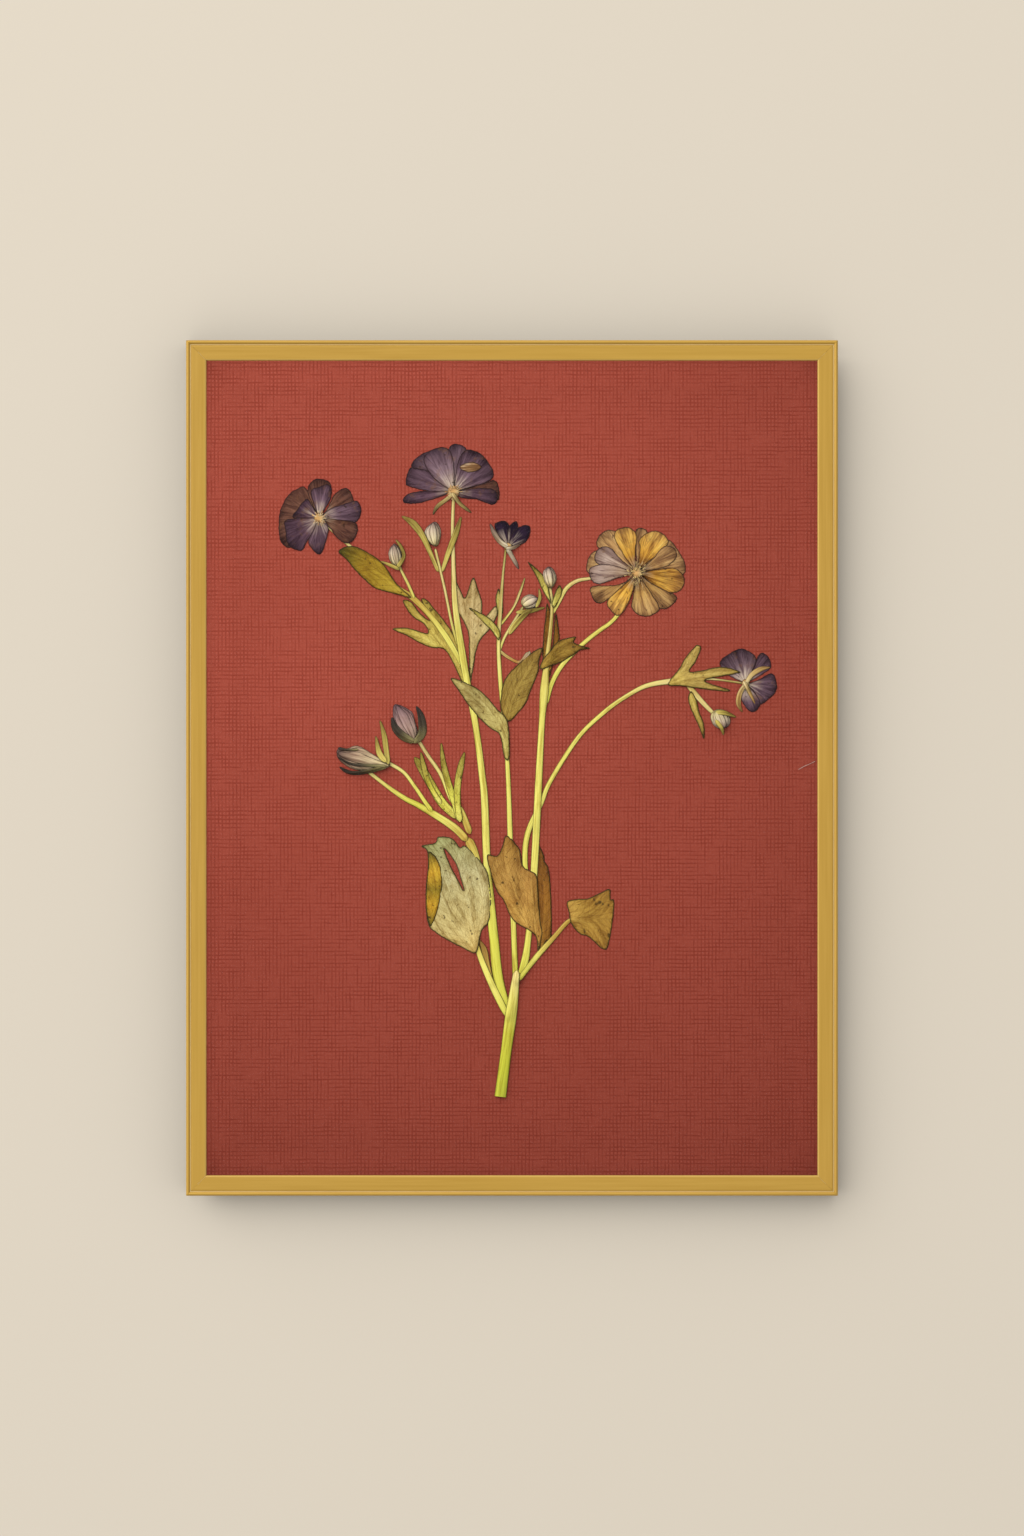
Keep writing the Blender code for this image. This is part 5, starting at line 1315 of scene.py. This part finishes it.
PETAL_SHADES = {
    "violet": [(230, 210, 178), (146, 120, 122), (108, 83, 94), (94, 70, 80), (56, 37, 46)],
    "pale_violet": [(238, 218, 184), (178, 154, 144), (128, 104, 110), (106, 82, 90), (60, 42, 52)],
    "plum": [(214, 190, 166), (120, 92, 98), (92, 66, 77), (78, 55, 66), (52, 35, 44)],
    "brown": [(154, 112, 84), (132, 92, 70), (120, 80, 62), (106, 68, 54), (76, 48, 40)],
    "night": [(220, 202, 172), (80, 58, 76), (54, 36, 56), (42, 27, 45), (30, 19, 33)],
    "lilac": [(120, 80, 54), (176, 142, 110), (184, 154, 132), (178, 150, 134), (148, 120, 106)],
    "amber": [(96, 58, 34), (184, 126, 44), (236, 174, 68), (238, 182, 84), (212, 162, 84)],
    "orange": [(96, 58, 32), (184, 124, 42), (216, 158, 62), (214, 156, 66), (184, 134, 70)],
    "umber": [(112, 76, 46), (176, 132, 78), (202, 156, 96), (194, 150, 94), (148, 110, 70)],
    "tan": [(120, 80, 46), (180, 132, 68), (198, 152, 84), (190, 146, 88), (152, 112, 66)],
}
FLOWERS = {
    "right_flower": (RIGHT_FLOWER_CENTRE, RIGHT_FLOWER_KNOB, RIGHT_FLOWER,
                     "violet violet violet pale_violet"),
    "left_flower": (LEFT_FLOWER_CENTRE, LEFT_FLOWER_KNOB, LEFT_FLOWER,
                    "brown brown violet plum brown violet brown plum violet"),
    "top_flower": (TOP_FLOWER_CENTRE, TOP_FLOWER_KNOB, TOP_FLOWER,
                   "brown pale_violet violet violet pale_violet pale_violet plum plum"),
    "small_dark_flower": (SMALL_DARK_FLOWER_CENTRE, SMALL_DARK_FLOWER_KNOB, SMALL_DARK_FLOWER,
                          "night night night"),
    "yellow_flower": (YELLOW_FLOWER_CENTRE, YELLOW_FLOWER_KNOB, YELLOW_FLOWER,
                      "umber umber umber umber lilac lilac amber amber umber orange tan tan amber tan"),
}
SEPALS = {
    "right_flower": (RIGHT_FLOWER_SEPALS, [(230, 206, 150), (206, 168, 98), (140, 100, 54)]),
    "top_flower": (TOP_FLOWER_SEPALS, [(226, 200, 136), (164, 140, 78), (84, 70, 40)]),
    "small_dark_flower": (SMALL_DARK_FLOWER_SEPALS, [(228, 214, 178), (176, 152, 126), (88, 66, 62)]),
}
print("flowers:", ", ".join(FLOWERS))

# %% Lay the flowers
BROWN_PATCH = [(459, 467), (465, 462.5), (474, 461.5), (481.5, 465.5), (477, 470), (467, 471.5)]
BROWN_PATCH_RIB = [(459, 467), (481, 466)]
BROWN_PATCH_COLOURS = [(176, 134, 84), (150, 108, 66)]
KNOB_COLOURS = [(214, 164, 98), (240, 208, 148)]
KNOB_SIDES = 9


def lay_knob(node, centre, radius, seed):
    """The small swelling where the petals meet."""
    turns = [2 * math.pi * side / KNOB_SIDES for side in range(KNOB_SIDES)]
    outline = [(centre[0] + radius * math.cos(turn), centre[1] + radius * math.sin(turn)) for turn in turns]
    lay_leaf(node, outline, [[centre, (centre[0] + radius, centre[1])]], KNOB_COLOURS, "bud",
             thickness=0.25, dome=0.55, torn=0.2, curl=0, seed=seed)


for flower_number, (node, (centre, radius, edges, names)) in enumerate(FLOWERS.items()):
    for number, (edge, name) in enumerate(zip(edges, names.split())):
        lay_petal(node, centre, edge, PETAL_SHADES[name], seed=100 * (flower_number + 1) + number)
    if node == "top_flower":
        lay_leaf(node, BROWN_PATCH, [BROWN_PATCH_RIB], BROWN_PATCH_COLOURS, "petal", thickness=0.12, curl=0,
                 seed=69)
    lay_knob(node, centre, radius, seed=70 + flower_number)
    sepals, sepal_colours = SEPALS.get(node, ([], None))
    for sepal in sepals:
        lay_stalk(node, sepal, sepal_colours, "sepal", thickness=0.4)
lay_leaf("end_leaf", END_LEAF, RIB_PATHS["end_leaf"], LEAF_COLOURS["end_leaf"], seed=31)
print("flowers are laid; the pile is", round(float(pile.max()), 2), "mm high")

# %% [markdown]
# Buds stay rounder than anything else in the press: a small dome with pale and purple-brown streaks, held
# by narrow sepals.

# %% Buds: rounded heads as outlines, and sepals as narrow ribbons, in pixels of the photograph
UPPER_LEFT_BUD = [(394, 543), (388.4, 551), (390, 561), (398, 567), (402, 559), (400.5, 549)]
UPPER_LEFT_BUD_SEPALS = [
    [(397, 567, 4), (403.5, 556, 3), (400.5, 546, 3), (395.3, 539, 1.4)],
    [(399, 569, 3), (390, 564.7, 3), (380, 560.6, 1.4)],
]
UPPER_MIDDLE_BUD = [(434, 521), (424.5, 530), (427, 540), (436, 546), (440.5, 537), (440, 527)]
UPPER_MIDDLE_BUD_LEAVES = [
    [(438, 571, 3), (430, 552, 4), (422.6, 536, 5), (413, 523, 6), (401.5, 515.5, 1.6)],
    [(442, 571, 3), (448, 553, 4.4), (456, 532, 5), (461, 516, 1.6)],
]
CENTRE_BUD = [(521, 603), (524, 596), (532, 594), (539, 599), (536, 607), (527, 609)]
CENTRE_BUD_LEAVES = [
    [(516, 612, 3), (529, 611, 4), (545, 607, 1.6)],
    [(536, 607, 3), (540, 598, 3), (539, 588, 1.4)],
    [(509, 634, 3), (514, 626, 5), (524, 615, 4.4), (532, 609, 2)],
]
UPPER_RIGHT_BUD = [(549, 566), (543, 572), (545, 582), (551, 588), (556.5, 580), (555, 571)]
FAR_RIGHT_BUD = [(718, 709), (711, 715), (714, 725), (723, 729), (731, 723), (728, 712)]
FAR_RIGHT_BUD_SEPALS = [
    [(716, 712, 4), (726, 713, 4), (736.8, 717, 1.4)],
    [(716, 720, 4), (722, 728, 3.4), (724, 735, 1.4)],
]
LOW_OUTER_BUD = [
    (337, 749), (346, 748.6), (354.5, 745.6), (361.5, 747), (369, 753), (390, 765), (374, 771),
    (352, 769), (338, 759),
]
LOW_OUTER_BUD_SEPAL = [(386, 767, 3), (370, 771, 3.4), (352, 773, 3.4), (339, 767, 1.6)]
LOW_TENDRIL_BUD = [
    [(388, 764, 4), (386, 751, 4.6), (384, 736, 4.4), (379.7, 720.3, 1.6)],
    [(386, 762, 4), (379, 753, 5), (375.5, 736, 1.6)],
]
LOW_INNER_BUD = [
    (395.2, 704), (392.5, 714), (396, 726), (404, 736), (414, 742), (418, 734), (415, 722), (411, 711),
]
LOW_INNER_BUD_SEPALS = [
    [(415, 742, 4), (404, 737, 7), (395, 728, 6), (391.6, 717, 1.6)],
    [(414, 743, 4), (422, 733, 7), (421, 717, 6), (416, 706, 1.6)],
]
BUD_CREAM = [(190, 172, 100), (220, 200, 152), (208, 186, 156), (118, 88, 82)]
BUD_PURPLE = [(142, 122, 92), (170, 136, 120), (152, 118, 112), (88, 62, 68)]
BUD_BROWN = [(208, 186, 126), (212, 188, 144), (178, 146, 116), (94, 68, 58)]
SEPAL_GREEN = [(222, 202, 104), (190, 170, 80), (138, 114, 50)]
SEPAL_DARK = [(158, 146, 94), (74, 64, 48), (40, 32, 32)]
LOW_OUTER_EXTRA = [
    [(386, 766, 2.4), (370, 765.5, 2.8), (351, 764, 2.2), (337, 757, 1.2)],
    [(381, 767, 1.8), (363, 771.5, 2.2), (347, 772.5, 1.8), (339.5, 767, 1)],
    [(358, 749.5, 2), (346, 749.5, 1.8), (337.6, 748, 3)],
]
BUDS = {
    "upper_left_bud": ([UPPER_LEFT_BUD], UPPER_LEFT_BUD_SEPALS, BUD_CREAM, SEPAL_GREEN,
                       [(398, 567), (393, 544)]),
    "upper_middle_bud": ([UPPER_MIDDLE_BUD], UPPER_MIDDLE_BUD_LEAVES, BUD_CREAM, SEPAL_GREEN,
                         [(436, 546), (433, 521)]),
    "centre_bud": ([CENTRE_BUD], CENTRE_BUD_LEAVES, BUD_CREAM, SEPAL_GREEN, [(522, 606), (538, 596)]),
    "upper_right_bud": ([UPPER_RIGHT_BUD], [], BUD_CREAM, SEPAL_GREEN, [(551, 588), (547, 566)]),
    "far_right_bud": ([FAR_RIGHT_BUD], FAR_RIGHT_BUD_SEPALS, BUD_CREAM, SEPAL_GREEN,
                      [(716, 710), (724, 729)]),
    "low_outer_bud": ([LOW_OUTER_BUD], [LOW_OUTER_BUD_SEPAL, *LOW_OUTER_EXTRA], BUD_BROWN, SEPAL_DARK,
                      [(388, 765), (338, 753)]),
    "low_tendril_bud": ([], LOW_TENDRIL_BUD, BUD_BROWN, SEPAL_GREEN, []),
    "low_inner_bud": ([LOW_INNER_BUD], LOW_INNER_BUD_SEPALS, BUD_PURPLE, SEPAL_DARK,
                      [(414, 742), (396, 705)]),
}
SCALE_SHIFTS_AND_WIDTHS = ((-0.4, 0.52), (0.4, 0.52), (0.05, 0.46))


def scales(head, axis):
    """Three narrow outlines within a bud's outline: the small petals that close over each other."""
    base, tip = np.array(axis, float)
    run = (tip - base) / np.linalg.norm(tip - base)
    across = np.array([-run[1], run[0]])
    offset = np.array(head, float) - base
    away, along = offset @ across, offset @ run
    middle, half = (away.max() + away.min()) / 2, (away.max() - away.min()) / 2
    belly = np.sin(np.clip(along / along.max(), 0, 1) * math.pi)
    outlines = []
    for shift, width in SCALE_SHIFTS_AND_WIDTHS:
        narrow = middle + (away - middle) * width + shift * half * belly
        outlines.append(base + np.outer(along * 0.96 + 0.4, run) + np.outer(narrow, across))
    return outlines


print("buds:", len(BUDS))

# %% Lay the buds
NARROW_LEAF_COLOURS = [STRAW, (196, 180, 84), (158, 138, 62)]
SEPAL_WIDENING = 1.2
for outline in NARROW_YELLOW_LEAVES:
    lay_leaf("upper_right_bud", outline, [[outline[3], outline[0]]], NARROW_LEAF_COLOURS, seed=50)
for number, (node, (heads, sepals, head_colours, sepal_colours, axis)) in enumerate(BUDS.items()):
    for head in heads:
        lay_leaf(node, head, [axis], head_colours, "bud", thickness=0.3, dome=0.7, torn=0.1, curl=0,
                 seed=51 + number)
        for scale_number, outline in enumerate(scales(head, axis)):
            paler = [tuple(min(channel + 12, 240) for channel in colour) for colour in head_colours]
            lay_leaf(node, outline, [axis], paler, "bud", thickness=0.15, dome=0.3, torn=0.05, curl=0,
                     seed=60 + 3 * number + scale_number)
    for sepal in sepals:
        wider = [(x, y, width * SEPAL_WIDENING) for x, y, width in sepal]
        lay_stalk(node, wider, sepal_colours, "sepal", thickness=0.42)
print("buds are laid; the pile is", round(float(pile.max()), 2), "mm high")

# %% [markdown]
# Five finishes cover the plant. Each one starts from the tint that the piece carries and adds what drying
# does: veins or fibres along the grain and brown blotches. It also adds a dark rim, which is partly the
# brittle dried edge and partly painted shadow along the edge.

# %% Mix the plant's finishes
def carried(tree, name, output):
    return add_node(tree, "ShaderNodeAttribute", attribute_name=name).outputs[output]


def thin_lines(tree, value, width):
    """1 along the thin lines where a noise passes its middle, and 0 elsewhere."""
    return close_to(tree, value, 0.5, 0.0, width)


def petal_finish():
    finish, tree, shader = new_finish("dried_petal", 0.75, gloss=0.12)
    tint, grain, rim = carried(tree, "tint", 0), carried(tree, "grain", 1), carried(tree, "rim", 2)
    streaks = noise(tree, stretched(tree, grain, (0.5, 0.05, 1)), 1.1, 4, 0.62)
    veins = thin_lines(tree, noise(tree, stretched(tree, grain, (0.6, 0.03, 1)), 1.5, 2), 0.05)
    patches = noise(tree, place(tree), 170, 5, 0.65)
    pale = noise(tree, place(tree), 85, 3)
    specks = noise(tree, place(tree), 430, 2)
    near_base = fade(tree, separated(tree, grain)[1], 9.5, 1.5)
    base_streaks = maths(tree, "MULTIPLY", near_base, fade(tree, streaks, 0.46, 0.58, 0, 0.75))
    colour = mixed(tree, fade(tree, streaks, 0.52, 0.36, 0, 0.85), tint, (0.42, 0.34, 0.38, 1), "MULTIPLY")
    colour = mixed(tree, fade(tree, streaks, 0.52, 0.66, 0, 0.6), colour, tint, "SCREEN")
    colour = mixed(tree, fade(tree, pale, 0.5, 0.68, 0, 0.35), colour, tint, "SCREEN")
    colour = mixed(tree, base_streaks, colour, rgba((232, 212, 180)))
    colour = mixed(tree, maths(tree, "MULTIPLY", veins, 0.7), colour, (0.32, 0.25, 0.28, 1), "MULTIPLY")
    colour = mixed(tree, fade(tree, patches, 0.55, 0.7, 0, 0.6), colour, rgba((124, 86, 52)))
    colour = mixed(tree, fade(tree, specks, 0.66, 0.72, 0, 0.7), colour, rgba((52, 34, 22)))
    colour = mixed(tree, fade(tree, rim, 2.4, 0.3, 0, 0.35), colour, (0.5, 0.38, 0.34, 1), "MULTIPLY")
    # The thin dark rim: partly the dried edge's own colour, partly painted shadow along the edge
    colour = mixed(tree, fade(tree, rim, 0.62, 0.2, 0, 0.88), colour, rgba((42, 27, 26)))
    set_finish(tree, shader, colour, streaks, 0.2 * MM, 0.9)
    return finish


SIDE_VEIN_STEP = 4.6


def leaf_finish():
    finish, tree, shader = new_finish("dried_leaf", 0.7, gloss=0.15)
    tint, grain = carried(tree, "tint", 0), carried(tree, "grain", 1)
    rim, rib = carried(tree, "rim", 2), carried(tree, "rib", 2)
    across, along = separated(tree, grain)[:2]
    slant = maths(tree, "MULTIPLY", maths(tree, "ABSOLUTE", across), 1.25)
    wander = maths(tree, "MULTIPLY", noise(tree, place(tree), 110, 3), 5.0)
    phase = maths(tree, "MULTIPLY", maths(tree, "SUBTRACT", along, slant), 2 * math.pi / SIDE_VEIN_STEP)
    side_veins = fade(tree, maths(tree, "SINE", maths(tree, "ADD", phase, wander)), 0.8, 1.0)
    cells = add_node(tree, "ShaderNodeTexVoronoi", {"Vector": place(tree), "Scale": 900.0},
                     feature="DISTANCE_TO_EDGE").outputs["Distance"]
    net = fade(tree, cells, 0.14, 0.0)
    fibres = noise(tree, stretched(tree, grain, (0.5, 0.06, 1)), 1.2, 4, 0.65)
    long_veins = thin_lines(tree, noise(tree, stretched(tree, grain, (0.55, 0.03, 1)), 1.5, 2), 0.03)
    specks = noise(tree, place(tree), 380, 2)
    patches = noise(tree, place(tree), 190, 4, 0.6)
    clouds = noise(tree, place(tree), 60, 2)
    colour = mixed(tree, fade(tree, patches, 0.5, 0.66, 0, 0.5), tint, (0.55, 0.42, 0.22, 1), "MULTIPLY")
    colour = mixed(tree, fade(tree, clouds, 0.48, 0.66, 0, 0.35), colour, tint, "SCREEN")
    colour = mixed(tree, fade(tree, fibres, 0.52, 0.34, 0, 0.8), colour, (0.5, 0.42, 0.28, 1), "MULTIPLY")
    colour = mixed(tree, fade(tree, fibres, 0.54, 0.68, 0, 0.25), colour, tint, "SCREEN")
    colour = mixed(tree, maths(tree, "MULTIPLY", net, 0.3), colour, (0.6, 0.5, 0.36, 1), "MULTIPLY")
    colour = mixed(tree, maths(tree, "MULTIPLY", long_veins, 0.55), colour, (0.46, 0.36, 0.22, 1), "MULTIPLY")
    colour = mixed(tree, maths(tree, "MULTIPLY", side_veins, 0.3), colour, (0.5, 0.4, 0.26, 1), "MULTIPLY")
    colour = mixed(tree, maths(tree, "MULTIPLY", rib, 0.35), colour, tint, "SCREEN")
    colour = mixed(tree, fade(tree, specks, 0.67, 0.72, 0, 0.75), colour, rgba((58, 44, 18)))
    colour = mixed(tree, fade(tree, rim, 2.0, 0.3, 0, 0.35), colour, (0.6, 0.5, 0.25, 1), "MULTIPLY")
    # The thin dark rim: partly the dried edge's own colour, partly painted shadow along the edge
    colour = mixed(tree, fade(tree, rim, 0.8, 0.26, 0, 0.92), colour, rgba((46, 40, 14)))
    height = maths(tree, "ADD", maths(tree, "ADD", side_veins, maths(tree, "MULTIPLY", net, 0.5)), fibres)
    set_finish(tree, shader, colour, height, 0.09 * MM, 0.8)
    return finish


def stalk_finish(name, dark, dark_rim_and_shadow_colour, dark_rim_and_shadow_strength, dark_rim_and_shadow_width=0.42):
    finish, tree, shader = new_finish(name, 0.62, gloss=0.2)
    tint, grain, rim = carried(tree, "tint", 0), carried(tree, "grain", 1), carried(tree, "rim", 2)
    fibres = noise(tree, stretched(tree, grain, (0.6, 0.03, 1)), 1.6, 3, 0.6)
    patches = noise(tree, place(tree), 130, 3)
    colour = mixed(tree, fade(tree, fibres, 0.52, 0.34, 0, 0.8), tint, dark, "MULTIPLY")
    colour = mixed(tree, fade(tree, fibres, 0.55, 0.72, 0, 0.42), colour, tint, "SCREEN")
    colour = mixed(tree, fade(tree, patches, 0.6, 0.76, 0, 0.5), colour, (0.62, 0.44, 0.26, 1), "MULTIPLY")
    # The dark rim: partly the dried edge's own colour, partly painted shadow along the edge
    colour = mixed(tree, fade(tree, rim, dark_rim_and_shadow_width, 0.06, 0, dark_rim_and_shadow_strength), colour, rgba(dark_rim_and_shadow_colour))
    set_finish(tree, shader, colour, fibres, 0.12 * MM, 0.8)
    return finish


FINISHES = {
    # The last three values of a stalk finish set its dark rim, partly dried edge and partly painted shadow
    "stalk": stalk_finish("dried_stalk", (0.56, 0.46, 0.24, 1), (84, 68, 22), 0.9, 0.46),
    "sepal": stalk_finish("dried_sepal", (0.42, 0.34, 0.22, 1), (54, 42, 24), 0.75, 0.34),
    "bud": stalk_finish("dried_bud", (0.34, 0.26, 0.25, 1), (54, 38, 34), 0.8, 0.5),
    "leaf": leaf_finish(),
    "petal": petal_finish(),
}
print("finishes for the plant:", ", ".join(FINISHES))

# %% Turn the collected solids into pieces
PIECE_SLOTS = {
    "dried_stem": "main_stem left_stem middle_stem right_stem arching_stem left_flower_stalk "
                  "yellow_flower_stalk upper_side_stalk low_left_stem outer_bud_stalk inner_bud_stalk "
                  "upper_left_bud_stalk hanging_bud_stalk",
    "pale_leaf": "large_pale_leaf tan_leaf grey_green_leaf",
    "brown_leaf": "large_brown_leaf brown_leaf_fold small_brown_leaf upright_brown_leaf lying_brown_leaf "
                  "narrow_dark_leaves",
    "green_leaf": "olive_leaf three_lobed_leaf end_leaf hanging_leaflet low_left_leaf",
    "purple_petal": "left_flower top_flower right_flower",
    "dark_petal": "small_dark_flower",
    "yellow_petal": "yellow_flower",
    "bud": "upper_left_bud upper_middle_bud centre_bud upper_right_bud far_right_bud low_outer_bud "
           "low_tendril_bud low_inner_bud",
}


def build_pressed(node):
    """One mesh from all the thin solids of a node, with what they carry as attributes."""
    parts = solids[node]
    finishes = sorted({part["finish"] for part in parts})
    faces, material_numbers, begin = [], [], 0
    for part in parts:
        faces += [tuple(begin + k for k in face) for face in part["faces"]]
        material_numbers += [finishes.index(part["finish"])] * len(part["faces"])
        begin += len(part["places"])
    places = np.vstack([part["places"] for part in parts]) * MM + np.array([0, CARD_FRONT_Y, CENTRE_Z])
    mesh = bpy.data.meshes.new(node + "_pressed")
    mesh.from_pydata(places.tolist(), [], faces)
    for finish in finishes:
        mesh.materials.append(FINISHES[finish])
    mesh.polygons.foreach_set("material_index", material_numbers)
    tint = np.vstack([part["tint"] for part in parts])
    tint = np.column_stack([tint, np.ones(len(tint))]).astype(np.float32)
    grain = np.vstack([part["grain"] for part in parts]).astype(np.float32)
    mesh.attributes.new("tint", "FLOAT_COLOR", "POINT").data.foreach_set("color", tint.ravel())
    mesh.attributes.new("grain", "FLOAT_VECTOR", "POINT").data.foreach_set("vector", grain.ravel())
    for name in ("rim", "rib"):
        values = np.concatenate([part[name] for part in parts]).astype(np.float32)
        mesh.attributes.new(name, "FLOAT", "POINT").data.foreach_set("value", values)
    mesh.shade_smooth()
    mesh.set_sharp_from_angle(angle=math.radians(60))
    return show(node + "_pressed", mesh, [node])


triangle_total = 0
for slot, names in PIECE_SLOTS.items():
    for node in names.split():
        piece = build_pressed(node)
        triangle_total += sum(len(polygon.vertices) - 2 for polygon in piece.data.polygons)
print("pressed pieces:", len(solids), "with", triangle_total, "triangles")

# %% [markdown]
# In the middle of an open flower the dried stamens lie fanned out: dozens of fine threads with a thicker
# end. One node tree scatters points round the centre, puts a thin cone on each, turns it to point
# outwards, and makes the copies real.

# %% Grow the stamens
def stamen_tree():
    tree, given, result = new_tree("stamens", {
        "Count": "Int", "Spread": "Float", "Length": "Float", "Thickness": "Float", "Centre": "Vector",
        "Seed": "Int", "Material": "Material",
    })
    turn = add_node(tree, "FunctionNodeRandomValue", {2: 0.0, 3: 2 * math.pi, "Seed": given.outputs["Seed"]})
    second_seed = maths(tree, "ADD", given.outputs["Seed"], 17)
    share = add_node(tree, "FunctionNodeRandomValue", {2: 0.2, 3: 1.0, "Seed": second_seed})
    radius = maths(tree, "MULTIPLY", share.outputs[1], given.outputs["Spread"])
    x = maths(tree, "MULTIPLY", maths(tree, "COSINE", turn.outputs[1]), radius)
    z = maths(tree, "MULTIPLY", maths(tree, "SINE", turn.outputs[1]), radius)
    spot = add_node(tree, "ShaderNodeCombineXYZ", {0: x, 2: z})
    points = add_node(tree, "GeometryNodePoints", {
        "Count": given.outputs["Count"], "Position": spot.outputs[0],
    })
    place_now = tree.nodes.new("GeometryNodeInputPosition").outputs[0]
    outwards = add_node(tree, "FunctionNodeAlignRotationToVector", {"Vector": place_now}, axis="Z")
    thin_end = maths(tree, "MULTIPLY", given.outputs["Thickness"], 0.45)
    thread = add_node(tree, "GeometryNodeMeshCone", {
        "Vertices": 6, "Radius Top": given.outputs["Thickness"], "Radius Bottom": thin_end,
        "Depth": given.outputs["Length"],
    })
    third_seed = maths(tree, "ADD", given.outputs["Seed"], 31)
    size = add_node(tree, "FunctionNodeRandomValue", {2: 0.6, 3: 1.2, "Seed": third_seed})
    copies = add_node(tree, "GeometryNodeInstanceOnPoints", {
        "Points": points.outputs[0], "Instance": thread.outputs[0], "Rotation": outwards.outputs[0],
        "Scale": size.outputs[1],
    })
    moved = add_node(tree, "GeometryNodeTransform", {
        0: copies.outputs[0], "Translation": given.outputs["Centre"],
    })
    return end_tree(tree, given, result, moved.outputs[0])


def grain_finish(name, dark, light):
    """Small dried threads, light and dark by turns."""
    finish, tree, shader = new_finish(name, 0.6)
    patches = noise(tree, place(tree), 700, 2)
    set_finish(tree, shader, mixed(tree, fade(tree, patches, 0.4, 0.6), rgba(dark), rgba(light)))
    return finish


STAMEN_TREE = stamen_tree()
STAMENS = {
    "left_flower": (40, 2.6, "purple_petal", (214, 160, 96), (246, 222, 176)),
    "yellow_flower": (80, 4.6, "yellow_petal", (112, 70, 40), (240, 206, 130)),
    "top_flower": (30, 2.6, "purple_petal", (196, 136, 76), (240, 208, 150)),
}


def pile_height(place_mm):
    column, row = ((np.array(place_mm) - PILE_LOW) / CELL).astype(int)
    return float(pile[column, row])


for number, (node, (count, reach, slot, dark, light)) in enumerate(STAMENS.items()):
    x, z = on_card([FLOWERS[node][0]])[0]
    y = CARD_FRONT_Y - (pile_height((x, z)) + 0.1) * MM
    mesh = run_tree(node + "_stamens", STAMEN_TREE, {
        "Count": count, "Spread": reach * MM, "Length": 1.9 * MM, "Thickness": 0.2 * MM,
        "Centre": (x * MM, y, z * MM + CENTRE_Z), "Seed": number + 3,
        "Material": grain_finish(node + "_stamen", dark, light),
    })
    mesh.shade_smooth()
    show(node + "_stamens", mesh)
print("stamens for", len(STAMENS), "flowers")

# %% [markdown]
# Two fine pale fibres lie on the card, as dust does under glass. Each is a line with a slow wave in it,
# swept with a tiny round section by another short tree.

# %% Drop the fibres
def fibre_tree():
    tree, given, result = new_tree("fibre", {
        "Start": "Vector", "End": "Vector", "Thickness": "Float", "Waviness": "Float", "Material": "Material",
    })
    line = add_node(tree, "GeometryNodeCurvePrimitiveLine", {
        "Start": given.outputs["Start"], "End": given.outputs["End"],
    })
    finer = add_node(tree, "GeometryNodeResampleCurve", {"Curve": line.outputs[0], "Count": 24})
    where = tree.nodes.new("GeometryNodeInputPosition").outputs[0]
    in_plane = stretched(tree, wandering(tree, where, 130.0, 1.0), (1, 0, 1))
    offset = times(tree, in_plane, given.outputs["Waviness"])
    bent = add_node(tree, "GeometryNodeSetPosition", {0: finer.outputs[0], "Offset": offset})
    ring = add_node(tree, "GeometryNodeCurvePrimitiveCircle", {
        "Resolution": 6, "Radius": given.outputs["Thickness"],
    })
    swept = add_node(tree, "GeometryNodeCurveToMesh", {
        "Curve": bent.outputs[0], "Profile Curve": ring.outputs[0], "Fill Caps": True,
    })
    return end_tree(tree, given, result, swept.outputs[0])


FIBRE_TREE = fibre_tree()
FIBRES = {
    "right_fibre": ((799, 769), (816, 761)),
    "lower_fibre": ((444, 919), (452, 925)),
}
fibre_paint = grain_finish("pale_fibre", (214, 176, 160), (236, 206, 190))
for name, ends in FIBRES.items():
    start, end = ((x * MM, CARD_FRONT_Y - 0.12 * MM, z * MM + CENTRE_Z) for x, z in on_card(ends))
    mesh = run_tree(name, FIBRE_TREE, {
        "Start": start, "End": end, "Thickness": 0.1 * MM, "Waviness": 1.2 * MM, "Material": fibre_paint,
    })
    mesh.shade_smooth()
    show(name, mesh)
print("fibres:", len(FIBRES))
